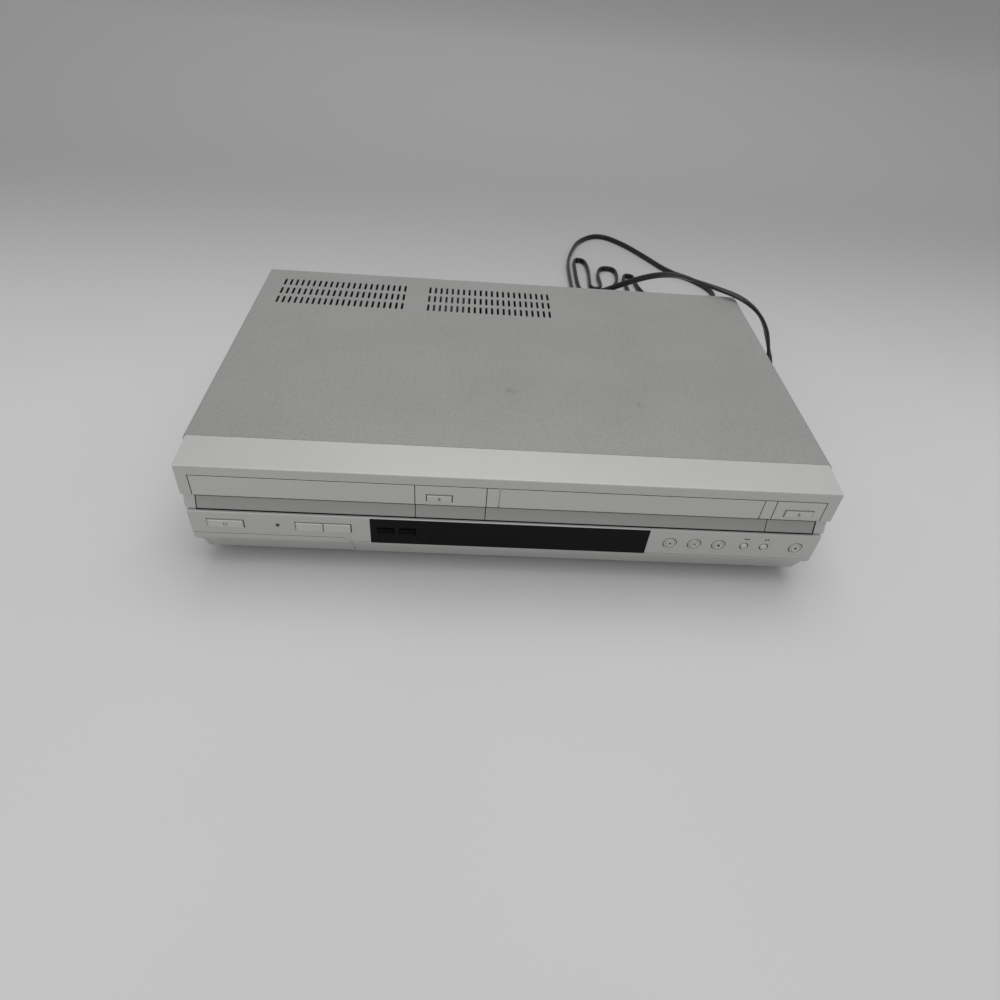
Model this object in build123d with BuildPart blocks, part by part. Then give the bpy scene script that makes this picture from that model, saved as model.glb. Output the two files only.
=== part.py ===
"""Disc player and cassette recorder in one low case, as an assembly of separate pieces.

Millimetres, +Z up, -Y is the front. The origin lies on the floor under the middle of the case.
"""
from build123d import *
import math
import os

os.makedirs("parts", exist_ok=True)

# ---------------------------------------------------------------- case
case_width = 430.0  # over the cover
case_height = 87.0  # floor to the top of the cover
cover_depth = 250.0  # from the seam with the front panel to the rear edge
panel_depth = 30.5  # front panel, from the seam to its lower face
jack_reach = 7.0  # rear sockets stand out this far behind the cover
foot_height = 7.0
foot_radius = 11.0
foot_inset_side = 30.0
foot_inset_end = 42.0
cover_sheet = 0.8
cover_bend = 2.0  # outer radius of the cover's folds
cover_lip = 10.0  # rim folded in round the rear opening
cover_floor_gap = 2.0  # cover's lower edge above the chassis sheet's underside
chassis_sheet = 1.0
chassis_flange = 15.0
rim_gap = 0.3  # between neighbouring pieces of the case
door_gap = 0.55  # seen between the doors of the upper row and round them
turn_gap = 0.05  # radial play of a shaft in its bore
screw_head = 3.5  # radius
screw_shank = 1.5  # radius
screw_head_thickness = 1.8

# ---------------------------------------------------------------- cover vents
vent_columns = 22
vent_rows = 3
vent_pitch = 5.0
vent_row_pitch = 16.5
vent_slot_width = 2.0
vent_slot_length = 12.0
vent_side_inset = 18.3  # cover's left side to the first column
vent_block_gap = 22.2  # between the two blocks of slots
vent_rear_inset = 23.4  # cover's rear edge to the last row

# ---------------------------------------------------------------- front panel
panel_wall = 2.4
panel_side_inset = 2.0  # panel's upper block is this much narrower than the cover
lower_side_inset = 3.5
top_fall = 1.8  # slope of the panel's top strip
upper_face_setback = 1.6  # upper face behind the lower face
row_drop = 9.7  # top of the doors below the top of the case
row_height = 28.0  # height of the doors
upper_face_height = 15.8  # of a door, above its shadow strip
strip_setback_top = 3.7  # shadow strip behind the upper face, at its top
strip_setback_bottom = 0.7
ledge_gap = 0.7  # black line between the doors and the lower block
door_wall = 2.2
row_left_inset = 9.7
row_right_inset = 10.0
chamfer_share = 0.401  # slanted plinth's share of the lower block's height
chamfer_run = 8.5
chamfer_radius = 8.0  # soft edge where the plinth's slant begins
plinth_inset = 4.6  # plinth's ends inside the lower block's ends
ear_radius = 3.0  # lower block's rounded bottom corners
top_edge_radius = 1.0
ledge_radius = 0.8
door_edge_radius = 0.4
lower_face_lean = 0.75
tray_door_side = 5.3  # tray door beyond the tray on each side
vcr_bezel_width = 32.85

# ---------------------------------------------------------------- keys, lamps and window
button_proud = 1.0
button_gap = 0.6
button_travel = 0.8
flange_margin = 1.0
flange_thickness = 1.0
window_thickness = 1.5
window_left_gap = 12.9  # jack door to window
window_right_gap = 11.55  # window to the play key
window_margin = 0.9  # window to the ledge above it and to the slant below it
small_key_height = 5.0
play_radius = 4.25
seek_radius = 2.55
round_key_drop = 0.1  # below the middle between the ledge and the slant
channel_key_rise = 0.7  # above the window's middle line
power_key_width = 23.0
power_key_height = 6.1
power_key_inset = 16.8  # from the left end of the door row
select_key_width = 17.7
select_key_height = 6.9
select_key_pitch = 18.2
select_key_inset = 71.2
power_key_rise = 0.25  # above the middle of the wall over the jack door
select_key_drop = 0.15
play_key_inset = 95.9  # from the right end of the door row
play_key_pitch = 17.0
rewind_key_inset = 44.0
seek_key_pitch = 13.9
record_key_inset = 7.6
lamp_radius = 1.2
lamp_inset = 50.4

# ---------------------------------------------------------------- jack door
jack_door_width = 104.6  # from the lower block's end
jack_door_share = 0.51  # of the lower block's height
jack_door_corner = 8.0
jack_door_wall = 2.0
hinge_pin = 1.0  # radius

# ---------------------------------------------------------------- disc loader
disc_diameter = 120.0
tray_width = 130.0
tray_thickness = 7.0
tray_travel = 134.0
tray_hold = 58.0  # length of tray left in its guides when it is out
tray_bottom_drop = 27.5  # tray's underside below the top of the case
tray_flange = 2.5
tray_slot_half = 22.0
loader_wall = 7.0
loader_height = 28.0
loader_length = 176.0
loader_floor = 2.5
loader_front_setback = 31.75  # frame's front edge behind the lower face
disc_centre_setback = 71.75
gear_tip = 11.0
traverse_rim = 12.0  # plate beside the rods
traverse_sheet = 1.8
rod_radius = 1.5
rod_spacing_half = 33.0
sled_length = 30.0
sled_travel = 35.0
rod_spare = 29.0  # rods beyond the sled and its travel
turntable_radius = 14.0
clamper_radius = 16.0

# ---------------------------------------------------------------- cassette deck
cassette_width = 188.0
cassette_height = 25.0
cassette_play = 0.8
basket_sheet = 0.8
basket_length = 90.0
basket_front_setback = 33.75
basket_bottom_drop = 37.0  # basket's underside below the top of the case
basket_back_travel = 50.0
basket_down_travel = 20.0
deck_sheet = 1.2
deck_height = 16.0  # deck plate above the chassis sheet
deck_wall_drop = 6.2  # top of the deck's side walls below the cover's sheet
deck_pin = 1.9  # radius of the carriage's and the basket's pins
drum_radius = 31.0
drum_split = 19.6  # top of the fixed drum above the deck sheet
drum_height = 34.0
reel_spacing = 94.0
reel_radius = 14.5
capstan_radius = 1.5
flywheel_radius = 21.0
pinch_radius = 6.0
pinch_arm_length = 22.0

# ---------------------------------------------------------------- boards
board_thickness = 1.6
board_lift = 6.0  # boards above the chassis sheet
post_radius = 3.0

# ---------------------------------------------------------------- mains cord
cord_diameter = 6.4
floor_rest = cord_diameter / 2 + 0.1

# ================================================================ derived places
half = case_width / 2
depth = panel_depth + cover_depth + jack_reach
front_y = -depth / 2
seam_y = front_y + panel_depth
cover_rear_y = seam_y + cover_depth
jack_end_y = cover_rear_y + jack_reach
cover_inner_x = half - cover_sheet
cover_inner_z = case_height - cover_sheet
cover_bottom_z = foot_height + cover_floor_gap
lip_inner_y = cover_rear_y - cover_sheet
chassis_z = foot_height + chassis_sheet
chassis_x = cover_inner_x - rim_gap
rear_y = lip_inner_y - rim_gap  # outer face of the rear panel
rear_inner_y = rear_y - chassis_sheet
rear_top_z = cover_inner_z - rim_gap

panel_back_y = seam_y - rim_gap
panel_x = half - panel_side_inset
lower_x = half - lower_side_inset
panel_bottom_z = chassis_z + 0.2
panel_front_top_z = case_height - top_fall
upper_y = front_y + upper_face_setback
row_top_z = case_height - row_drop
row_bottom_z = row_top_z - row_height
step_z = row_top_z - upper_face_height
strip_top_z = step_z - 2.5
ledge_z = row_bottom_z - ledge_gap
strip_top_y = upper_y + strip_setback_top
strip_bottom_y = upper_y + strip_setback_bottom
lower_height = ledge_z - panel_bottom_z
chamfer_top_z = panel_bottom_z + chamfer_share * lower_height
ear_z = chamfer_top_z - panel_wall
plinth_x = lower_x - plinth_inset
chamfer_foot_y = front_y + lower_face_lean + chamfer_run
panel_inner_y = front_y + panel_wall

row_x0 = -half + row_left_inset
row_x1 = half - row_right_inset
tray_door_x1 = row_x0 + tray_width + 2 * tray_door_side
vcr_bezel_x0 = row_x1 - vcr_bezel_width
flap_x1 = vcr_bezel_x0 - door_gap
flap_width = cassette_width + 2 * cassette_play + 0.1
flap_x0 = flap_x1 - flap_width
dvd_bezel_x0 = tray_door_x1 + door_gap
dvd_bezel_x1 = flap_x0 - door_gap
tray_cx = (row_x0 + tray_door_x1) / 2
deck_cx = (flap_x0 + flap_x1) / 2
flap_pivot_y = upper_y + 3.6
flap_pivot_z = row_top_z - 1.7
flap_pin = 1.2  # radius

board_z = chassis_z + board_lift
board_top_z = board_z + board_thickness
front_board_y = front_y + 19.75  # front face of the upright board
tact_height = 9.0
tact_tip_y = front_board_y - tact_height
stem_end_y = tact_tip_y - button_travel - 0.2


def face_y(z):
    """Return where the lower face stands at height z: it leans back a little below the ledge."""
    return front_y + (ledge_z - z) * lower_face_lean / (ledge_z - chamfer_top_z)


# ================================================================ shared shapes
def block(x0, x1, y0, y1, z0, z1, mode=Mode.ADD):
    """Add or cut a box given by its six faces."""
    with Locations(((x0 + x1) / 2, (y0 + y1) / 2, (z0 + z1) / 2)):
        Box(x1 - x0, y1 - y0, z1 - z0, mode=mode)


def rod(axis, at, radius, start, end, mode=Mode.ADD):
    """Add or cut a round rod along an axis; `at` is its centre on the other two axes."""
    turn = {"x": (0, 90, 0), "y": (90, 0, 0), "z": (0, 0, 0)}[axis]
    middle = (start + end) / 2
    place = {"x": (middle, *at), "y": (at[0], middle, at[1]), "z": (*at, middle)}[axis]
    with Locations(place):
        Cylinder(radius, end - start, rotation=turn, mode=mode)


def bar(points, x0, x1, mode=Mode.ADD):
    """Add or cut a bar along X whose section is given by (y, z) points."""
    with BuildSketch(Plane.YZ.offset(x0)) as section:
        with BuildLine():
            Polyline(*points, close=True)
        make_face()
    extrude(section.sketch, amount=x1 - x0, mode=mode)


# bent section of the doors in the upper row: face, shadow strip and back
door_section = [
    (upper_y, row_top_z),
    (upper_y, step_z),
    (strip_top_y, strip_top_z),
    (strip_bottom_y, row_bottom_z),
    (strip_bottom_y + door_wall, row_bottom_z),
    (strip_top_y + door_wall, strip_top_z - 0.6),
    (upper_y + door_wall, step_z - 1.2),
    (upper_y + door_wall, row_top_z),
]


# ================================================================ case
with BuildPart() as top_cover:
    block(-half, half, seam_y, cover_rear_y, cover_bottom_z, case_height)
    top_sides = top_cover.edges().filter_by(Axis.Y).group_by(Axis.Z)[-1]
    fillet(top_sides, radius=cover_bend)
    block(
        -cover_inner_x, cover_inner_x, seam_y - 1, lip_inner_y,
        cover_bottom_z - 1, cover_inner_z, Mode.SUBTRACT,
    )
    block(
        cover_lip - half, half - cover_lip, lip_inner_y - 1, cover_rear_y + 1,
        cover_bottom_z - 1, case_height - cover_lip, Mode.SUBTRACT,
    )
    vent_span = (vent_columns - 1) * vent_pitch
    vent_mid_y = cover_rear_y - vent_rear_inset - (vent_rows - 1) * vent_row_pitch / 2
    vent_first_mid = vent_side_inset - half + vent_span / 2
    vent_second_mid = vent_first_mid + vent_span + vent_block_gap
    with BuildSketch(Plane.XY.offset(case_height)):
        with Locations((vent_first_mid, vent_mid_y), (vent_second_mid, vent_mid_y)):
            with GridLocations(vent_pitch, vent_row_pitch, vent_columns, vent_rows):
                SlotOverall(vent_slot_length, vent_slot_width, rotation=90)
    extrude(amount=-2 * cover_sheet, mode=Mode.SUBTRACT)
    lip_mid = cover_lip / 2
    rear_screws = [
        (0, case_height - lip_mid),
        (-half * 0.7, case_height - lip_mid),
        (half * 0.7, case_height - lip_mid),
        (lip_mid - half, cover_bottom_z + 12),
        (half - lip_mid, cover_bottom_z + 12),
    ]
    for x, z in rear_screws:
        rod("y", (x, z), screw_shank + rim_gap, lip_inner_y - 1, cover_rear_y + 1, Mode.SUBTRACT)
top_cover.part.label = "top_cover"
export_step(top_cover.part, "parts/top_cover.step")

# ---------------------------------------------------------------- loader, deck and board places
loader_y0 = front_y + loader_front_setback
loader_y1 = loader_y0 + loader_length
loader_inner = tray_width / 2 + 1.0
loader_outer = loader_inner + loader_wall
tray_z0 = case_height - tray_bottom_drop
tray_z1 = tray_z0 + tray_thickness
loader_z1 = tray_z1 + 5.5
loader_z0 = loader_z1 - loader_height
disc_y = front_y + disc_centre_setback
leg_radius = 4.0
leg_x = (loader_inner + loader_outer) / 2
leg_places = [
    (tray_cx + side * leg_x, y) for side in (-1, 1) for y in (loader_y0 + 12, loader_y1 - 12)
]

deck_z0 = chassis_z + deck_height
deck_z1 = deck_z0 + deck_sheet
deck_wall_top_z = cover_inner_z - deck_wall_drop
basket_x = cassette_width / 2 + cassette_play + basket_sheet
carriage_x1 = basket_x + 3.0
carriage_x0 = carriage_x1 - basket_sheet - 0.4
deck_x = carriage_x1 + 0.4
basket_y0 = front_y + basket_front_setback
basket_y1 = basket_y0 + basket_length
deck_y0 = basket_y0 - 1.0
deck_y1 = basket_y1 + basket_back_travel
drum_x = deck_cx - 7.0
drum_y = deck_y1 + drum_radius + 5.0
deck_rear_y = drum_y + drum_radius + 7.0
power_x1 = chassis_x - chassis_sheet - 5.0
power_x0 = power_x1 - 62.0
power_y0 = deck_y1 + 5.0
power_y1 = rear_inner_y - 4.0
deck_rear_x1 = power_x0 - 6.0
main_x0 = tray_cx - loader_inner + 2.0
main_x1 = deck_cx - deck_x - 9.0
main_y0 = loader_y0 + 3.0
main_y1 = rear_inner_y - 4.0
deck_posts = [
    (deck_cx - deck_x + 8, deck_y0 + 10),
    (deck_cx + deck_x - 8, deck_y0 + 10),
    (deck_cx - deck_x + 8, deck_rear_y - 8),
    (deck_rear_x1 - 8, deck_rear_y - 8),
]
main_posts = [(x, y) for x in (main_x0 + 8, main_x1 - 8) for y in (main_y0 + 20, main_y1 - 8)]
power_posts = [(x, y) for x in (power_x0 + 5, power_x1 - 5) for y in (power_y0 + 5, power_y1 - 5)]

with BuildPart() as chassis_tray:
    chassis_front_y = chamfer_foot_y + 3.8
    block(-chassis_x, chassis_x, seam_y, rear_y, foot_height, chassis_z)
    block(-lower_x + 8, lower_x - 8, chassis_front_y, seam_y, foot_height, chassis_z)
    for side in (-1, 1):
        inner = side * (chassis_x - chassis_sheet)
        outer = side * chassis_x
        block(
            min(inner, outer), max(inner, outer), seam_y + rim_gap, rear_inner_y,
            foot_height, foot_height + chassis_flange,
        )
    for x, y in main_posts + power_posts:
        rod("z", (x, y), post_radius, chassis_z, board_z)
    for x, y in deck_posts:
        rod("z", (x, y), post_radius, chassis_z, deck_z0)
    with BuildSketch(Plane.XY.offset(foot_height)):
        with Locations((deck_cx, (deck_y0 + deck_y1) / 2), (tray_cx, disc_y + 20)):
            with GridLocations(9, 20, 9, 3):
                SlotOverall(15, 3, rotation=90)
    extrude(amount=chassis_sheet, mode=Mode.SUBTRACT)
chassis_tray.part.label = "chassis_tray"
export_step(chassis_tray.part, "parts/chassis_tray.step")

# ---------------------------------------------------------------- rear panel and its sockets
phono_radius = 4.15
phono_pin = 1.6
phono_pitch = 16.0
phono_columns = 6
phono_x0 = tray_cx - 62.0
phono_rows_z = (chassis_z + 20, chassis_z + 38)
phonos = [(phono_x0 + i * phono_pitch, z) for i in range(phono_columns) for z in phono_rows_z]
tuner_x0 = tray_cx + 57.0
tuner_x1 = tuner_x0 + 42.0
antenna_radius = 4.75
antennas = [((tuner_x0 + tuner_x1) / 2, chassis_z + 20), ((tuner_x0 + tuner_x1) / 2, chassis_z + 42)]
cord_x = power_x1 - 17.0
cord_z = chassis_z + 32.0
relief_radius = 6.0

with BuildPart() as rear_panel:
    block(-chassis_x, chassis_x, rear_inner_y, rear_y, chassis_z, rear_top_z)
    for x, z in phonos:
        rod("y", (x, z), phono_radius + rim_gap, rear_inner_y - 1, rear_y + 1, Mode.SUBTRACT)
    for x, z in antennas:
        rod("y", (x, z), antenna_radius + rim_gap, rear_inner_y - 1, rear_y + 1, Mode.SUBTRACT)
    rod("y", (cord_x, cord_z), relief_radius + rim_gap, rear_inner_y - 1, rear_y + 1, Mode.SUBTRACT)
    for x, z in rear_screws:
        rod("y", (x, z), screw_shank, rear_inner_y - 1, rear_y + 1, Mode.SUBTRACT)
    with BuildSketch(Plane.XZ.offset(-rear_y)):
        with Locations((deck_cx, (chassis_z + rear_top_z) / 2)):
            with GridLocations(7, 24, 12, 2):
                SlotOverall(18, 3, rotation=90)
    extrude(amount=-chassis_sheet, mode=Mode.SUBTRACT)
rear_panel.part.label = "rear_panel"
export_step(rear_panel.part, "parts/rear_panel.step")

with BuildPart() as rear_jacks:
    block_y1 = rear_inner_y
    block_y0 = block_y1 - 12
    margin = 8
    block(
        phonos[0][0] - margin, phonos[-1][0] + margin, block_y0, block_y1,
        board_top_z, phono_rows_z[1] + margin,
    )
    for x, z in phonos:
        rod("y", (x, z), phono_radius, block_y1, jack_end_y)
        rod("y", (x, z), phono_pin, block_y1 + 2, jack_end_y + 1, Mode.SUBTRACT)
rear_jacks.part.label = "rear_jacks"
export_step(rear_jacks.part, "parts/rear_jacks.step")

with BuildPart() as tuner_can:
    block(tuner_x0, tuner_x1, rear_inner_y - 48, rear_inner_y, board_top_z, board_top_z + 44)
    fillet(tuner_can.edges().filter_by(Axis.Y), radius=1.5)
    for x, z in antennas:
        rod("y", (x, z), antenna_radius, rear_inner_y, jack_end_y)
        rod("y", (x, z), 1.0, rear_inner_y + 2, jack_end_y + 1, Mode.SUBTRACT)
tuner_can.part.label = "tuner_can"
export_step(tuner_can.part, "parts/tuner_can.step")

with BuildPart() as feet:
    foot_x = half - foot_inset_side
    foot_mid_y = (front_y + cover_rear_y) / 2
    foot_span_y = cover_rear_y - front_y - 2 * foot_inset_end
    for x in (-foot_x, foot_x):
        for y in (foot_mid_y - foot_span_y / 2, foot_mid_y + foot_span_y / 2):
            rod("z", (x, y), foot_radius, 0, foot_height)
    chamfer(feet.edges().filter_by(GeomType.CIRCLE).group_by(Axis.Z)[0], length=1.5)
feet.part.label = "feet"
export_step(feet.part, "parts/feet.step")

with BuildPart() as cover_screws:
    for x, z in rear_screws:
        head_y = cover_rear_y + screw_head_thickness
        rod("y", (x, z), screw_head, cover_rear_y, head_y)
        rod("y", (x, z), screw_shank - turn_gap, rear_inner_y - 3, cover_rear_y)
        block(x - 2.4, x + 2.4, head_y - 0.8, head_y + 1, z - 0.5, z + 0.5, Mode.SUBTRACT)
        block(x - 0.5, x + 0.5, head_y - 0.8, head_y + 1, z - 2.4, z + 2.4, Mode.SUBTRACT)
cover_screws.part.label = "cover_screws"
export_step(cover_screws.part, "parts/cover_screws.step")

# ================================================================ keys of the front panel
jack_door_x0 = -lower_x
jack_door_x1 = jack_door_x0 + jack_door_width
jack_low_x0 = -plinth_x + panel_wall + rim_gap  # door's left end where it is part of the plinth
key_z = (ledge_z + chamfer_top_z) / 2 - round_key_drop
bay_wall = 1.4
jack_door_top_z = panel_bottom_z + jack_door_share * lower_height
bay_top_z = jack_door_top_z + rim_gap + bay_wall
left_key_z = (ledge_z - panel_wall + bay_top_z) / 2
power_z = left_key_z + power_key_rise
select_z = left_key_z - select_key_drop
select_x = row_x0 + select_key_inset
play_x = row_x1 - play_key_inset
rewind_x = row_x1 - rewind_key_inset
# name, centre x, centre z, width, height (height 0 means a round key of that width)
ledge_keys = [
    ("power_button", row_x0 + power_key_inset, power_z, power_key_width, power_key_height),
    ("dvd_select_button", select_x, select_z, select_key_width, select_key_height),
    ("video_select_button", select_x + select_key_pitch, select_z, select_key_width, select_key_height),
    ("play_button", play_x, key_z, 2 * play_radius, 0),
    ("pause_button", play_x + play_key_pitch, key_z, 2 * play_radius, 0),
    ("stop_button", play_x + 2 * play_key_pitch, key_z, 2 * play_radius, 0),
    ("rewind_button", rewind_x, key_z, 2 * seek_radius, 0),
    ("forward_button", rewind_x + seek_key_pitch, key_z, 2 * seek_radius, 0),
    ("record_button", row_x1 - record_key_inset, key_z, 2 * play_radius, 0),
]
window_left = jack_door_x1 + window_left_gap
window_right = play_x - play_radius - window_right_gap
window_top_z = ledge_z - window_margin
window_bottom_z = chamfer_top_z + window_margin
channel_z = (window_top_z + window_bottom_z) / 2 + channel_key_rise
channel_keys = [
    ("channel_down_button", window_left + 10.1, channel_z, 10.0, 4.4),
    ("channel_up_button", window_left + 24.5, channel_z, 10.0, 4.4),
]
eject_z = row_top_z - 10.1
eject_keys = [
    ("dvd_eject_button", dvd_bezel_x0 + 15.4, eject_z, 16.0, small_key_height),
    ("vcr_eject_button", vcr_bezel_x0 + 17.0, eject_z, 18.5, small_key_height),
]
lamp_x = row_x0 + lamp_inset
lamp_z = power_z


def key_shape(key, y0, y1, grow=0.0, mode=Mode.ADD, side_grow=None):
    """Add or cut one key's outline between two depths."""
    _, x, z, width, height = key
    if height:
        w = width / 2 + (grow if side_grow is None else side_grow)
        h = height / 2 + grow
        block(x - w, x + w, y0, y1, z - h, z + h, mode)
    else:
        rod("y", (x, z), width / 2 + grow, y0, y1, mode)


# ================================================================ front panel
jack_pivot_y = chamfer_foot_y + 0.5
jack_pivot_z = panel_bottom_z + 3.0
# depth of the door's back at the ear's underside, on the line from the face down to the pin
back_fall = (chamfer_top_z + 0.6 - ear_z) / (chamfer_top_z - jack_pivot_z - 0.4)
back_run = jack_pivot_y + 1.0 - face_y(chamfer_top_z) - jack_door_wall
jack_ear_back_y = face_y(chamfer_top_z) + jack_door_wall + back_fall * back_run
bay_back_y = front_board_y - 6.5
bay_x1 = jack_door_x1 + rim_gap


def jack_outline(left, y0, y1, grow, mode):
    """Add or cut the jack door's outline, one top corner round, between two depths."""
    r = jack_door_corner + grow
    right = jack_door_x1 + grow
    top = jack_door_top_z + grow
    with BuildSketch(Plane.XZ.offset(-y0)) as outline:
        with BuildLine():
            Line((left, panel_bottom_z - 2), (right, panel_bottom_z - 2))
            Line((right, panel_bottom_z - 2), (right, top - r))
            TangentArc((right, top - r), (right - r, top), tangent=(0, 1))
            Line((right - r, top), (left, top))
            Line((left, top), (left, panel_bottom_z - 2))
        make_face()
    extrude(outline.sketch, amount=-(y1 - y0), mode=mode)


def trim_ear(side):
    """Cut away what lies beside the plinth, under the lower block's rounded bottom corner."""
    low = panel_bottom_z - 1
    end = side * (lower_x + 1)
    face = side * lower_x
    turn = side * (lower_x - ear_radius)
    inner = side * plinth_x
    with BuildSketch(Plane.XZ.offset(-(front_y - 2))) as beside:
        with BuildLine():
            Polyline((turn, ear_z), (inner, ear_z), (inner, low), (end, low), (end, ear_z + ear_radius),
                     (face, ear_z + ear_radius))
            RadiusArc((face, ear_z + ear_radius), (turn, ear_z), side * ear_radius)
        make_face()
    extrude(beside.sketch, amount=-(panel_depth + 4), mode=Mode.SUBTRACT)


def round_edge(piece, y, z, radius):
    """Round the edge along X that passes nearest to a point of the section."""
    x = piece.part.center().X
    fillet(piece.edges().filter_by(Axis.X).sort_by_distance((x, y, z))[0], radius=radius)


with BuildPart() as front_panel:
    bar(
        [
            (panel_back_y, case_height),
            (upper_y, panel_front_top_z),
            (upper_y, step_z),
            (strip_top_y, strip_top_z),
            (strip_bottom_y, ledge_z + ledge_gap),
            (strip_bottom_y + door_wall, ledge_z),
            (front_y, ledge_z),
            (face_y(chamfer_top_z), chamfer_top_z),
            (chamfer_foot_y, panel_bottom_z),
            (panel_back_y, panel_bottom_z),
        ],
        -panel_x, panel_x,
    )
    round_edge(front_panel, upper_y, panel_front_top_z, top_edge_radius)
    round_edge(front_panel, front_y, ledge_z, ledge_radius)
    round_edge(front_panel, face_y(chamfer_top_z), chamfer_top_z, chamfer_radius)
    for side in (-1, 1):
        inner = side * lower_x
        outer = side * (half + 1)
        block(
            min(inner, outer), max(inner, outer), front_y - 1, panel_back_y + 1,
            panel_bottom_z - 1, ledge_z, Mode.SUBTRACT,
        )
    cavity_y = strip_top_y + panel_wall
    cavity_x = lower_x - panel_wall
    plinth_inner_x = plinth_x - panel_wall
    bar(
        [
            (panel_back_y + 1, case_height - panel_wall),
            (upper_y + panel_wall, panel_front_top_z - panel_wall),
            (upper_y + panel_wall, step_z - 1.2),
            (cavity_y, strip_top_z),
            (cavity_y, ledge_z - panel_wall),
            (panel_inner_y, ledge_z - panel_wall),
            (face_y(chamfer_top_z) + panel_wall, chamfer_top_z),
            (panel_back_y + 1, chamfer_top_z),
        ],
        -cavity_x, cavity_x, Mode.SUBTRACT,
    )
    bar(
        [
            (face_y(chamfer_top_z) + panel_wall, chamfer_top_z + 0.6),
            (chamfer_foot_y + 1.9, panel_bottom_z + panel_wall),
            (panel_back_y + 1, panel_bottom_z + panel_wall),
            (panel_back_y + 1, chamfer_top_z + 0.6),
        ],
        -plinth_inner_x, plinth_inner_x, Mode.SUBTRACT,
    )
    # one opening for the row of doors
    block(
        row_x0 - door_gap, row_x1 + door_gap, front_y - 1, cavity_y + 1,
        ledge_z, row_top_z + door_gap, Mode.SUBTRACT,
    )
    # shallow seat of the display window, with a hole for the tube's light behind it
    bar(
        [
            (front_y - 1, window_top_z + rim_gap),
            (face_y(window_top_z) + window_thickness + 0.1, window_top_z + rim_gap),
            (face_y(window_bottom_z) + window_thickness + 0.1, window_bottom_z - rim_gap),
            (front_y - 1, window_bottom_z - rim_gap),
        ],
        window_left - rim_gap, window_right + rim_gap, Mode.SUBTRACT,
    )
    tube_x0 = window_left + 40
    tube_x1 = window_right - 6
    block(
        tube_x0 - 2, tube_x1 + 2, front_y - 1, cavity_y,
        window_bottom_z + 2, ledge_z - panel_wall, Mode.SUBTRACT,
    )
    for key in ledge_keys + channel_keys:
        key_shape(key, front_y - 2, front_y + 4.6, button_gap, Mode.SUBTRACT)
    rod("y", (lamp_x, lamp_z), lamp_radius + 0.15, front_y - 2, front_y + 4.6, Mode.SUBTRACT)
    # opening of the jack door, its run-out at the block's end, then the bay behind it
    jack_outline(-plinth_inner_x, front_y - 2, bay_back_y, rim_gap, Mode.SUBTRACT)
    bar(
        [
            (front_y - 2, ear_z - rim_gap),
            (jack_ear_back_y + rim_gap, ear_z - rim_gap),
            (face_y(chamfer_top_z) + jack_door_wall + rim_gap, chamfer_top_z + 0.6),
            (face_y(chamfer_top_z) + jack_door_wall + rim_gap, jack_door_top_z + rim_gap),
            (front_y - 2, jack_door_top_z + rim_gap),
        ],
        jack_door_x0 - 1, 1 - plinth_inner_x, Mode.SUBTRACT,
    )
    bar(
        [
            (bay_back_y, jack_door_top_z + rim_gap),
            (face_y(chamfer_top_z) + 1.5, jack_door_top_z + rim_gap),
            (face_y(chamfer_top_z) + 1.5, chamfer_top_z),
            (chamfer_foot_y + 1.5, panel_bottom_z),
            (bay_back_y, panel_bottom_z),
        ],
        bay_x1, bay_x1 + bay_wall,
    )
    block(
        -lower_x + 1, bay_x1 + bay_wall, face_y(chamfer_top_z) + 1.5, bay_back_y,
        jack_door_top_z + rim_gap, bay_top_z,
    )
    block(
        -lower_x + 1, bay_x1 + bay_wall, bay_back_y, bay_back_y + bay_wall,
        panel_bottom_z, bay_top_z,
    )
    front_phonos = [(jack_low_x0 + 11.4 + i * 18.0, panel_bottom_z + 11.5) for i in range(4)]
    for x, z in front_phonos:
        rod("y", (x, z), phono_radius + rim_gap, bay_back_y - 1, bay_back_y + 3, Mode.SUBTRACT)
    # blind bore in the side wall and a through bore in the bay wall for the door's pins
    rod(
        "x", (jack_pivot_y, jack_pivot_z), hinge_pin + turn_gap,
        -plinth_x + 0.7, bay_x1 + bay_wall + 1, Mode.SUBTRACT,
    )
    # hangers for the cassette door's pins
    for side, edge in ((-1, flap_x0), (1, flap_x1)):
        near = edge + side * 0.8
        far = edge + side * 2.8
        block(
            min(near, far), max(near, far), upper_y + door_wall + rim_gap, flap_pivot_y + 3,
            flap_pivot_z - 3, panel_front_top_z - 1,
        )
        rod(
            "x", (flap_pivot_y, flap_pivot_z), flap_pin + turn_gap,
            min(near, far) - 0.1, max(near, far) + 0.1, Mode.SUBTRACT,
        )
    # tongues that reach back under the cover
    for side in (-1, 1):
        for z in (chassis_z + 24, chassis_z + 54):
            inner = side * (lower_x - panel_wall)
            outer = side * lower_x
            block(
                min(inner, outer), max(inner, outer), panel_back_y - 2, panel_back_y + 12, z, z + 14
            )
        trim_ear(side)
front_panel.part.label = "front_panel"
export_step(front_panel.part, "parts/front_panel.step")

with BuildPart() as display_window:
    bar(
        [
            (face_y(window_top_z), window_top_z),
            (face_y(window_top_z) + window_thickness, window_top_z),
            (face_y(window_bottom_z) + window_thickness, window_bottom_z),
            (face_y(window_bottom_z), window_bottom_z),
        ],
        window_left, window_right,
    )
    fillet(display_window.edges().filter_by(Axis.Y, tolerance=5), radius=1.5)
    for key in channel_keys:
        key_shape(key, front_y - 2, front_y + 4.6, button_gap, Mode.SUBTRACT)
display_window.part.label = "display_window"
export_step(display_window.part, "parts/display_window.step")

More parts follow.
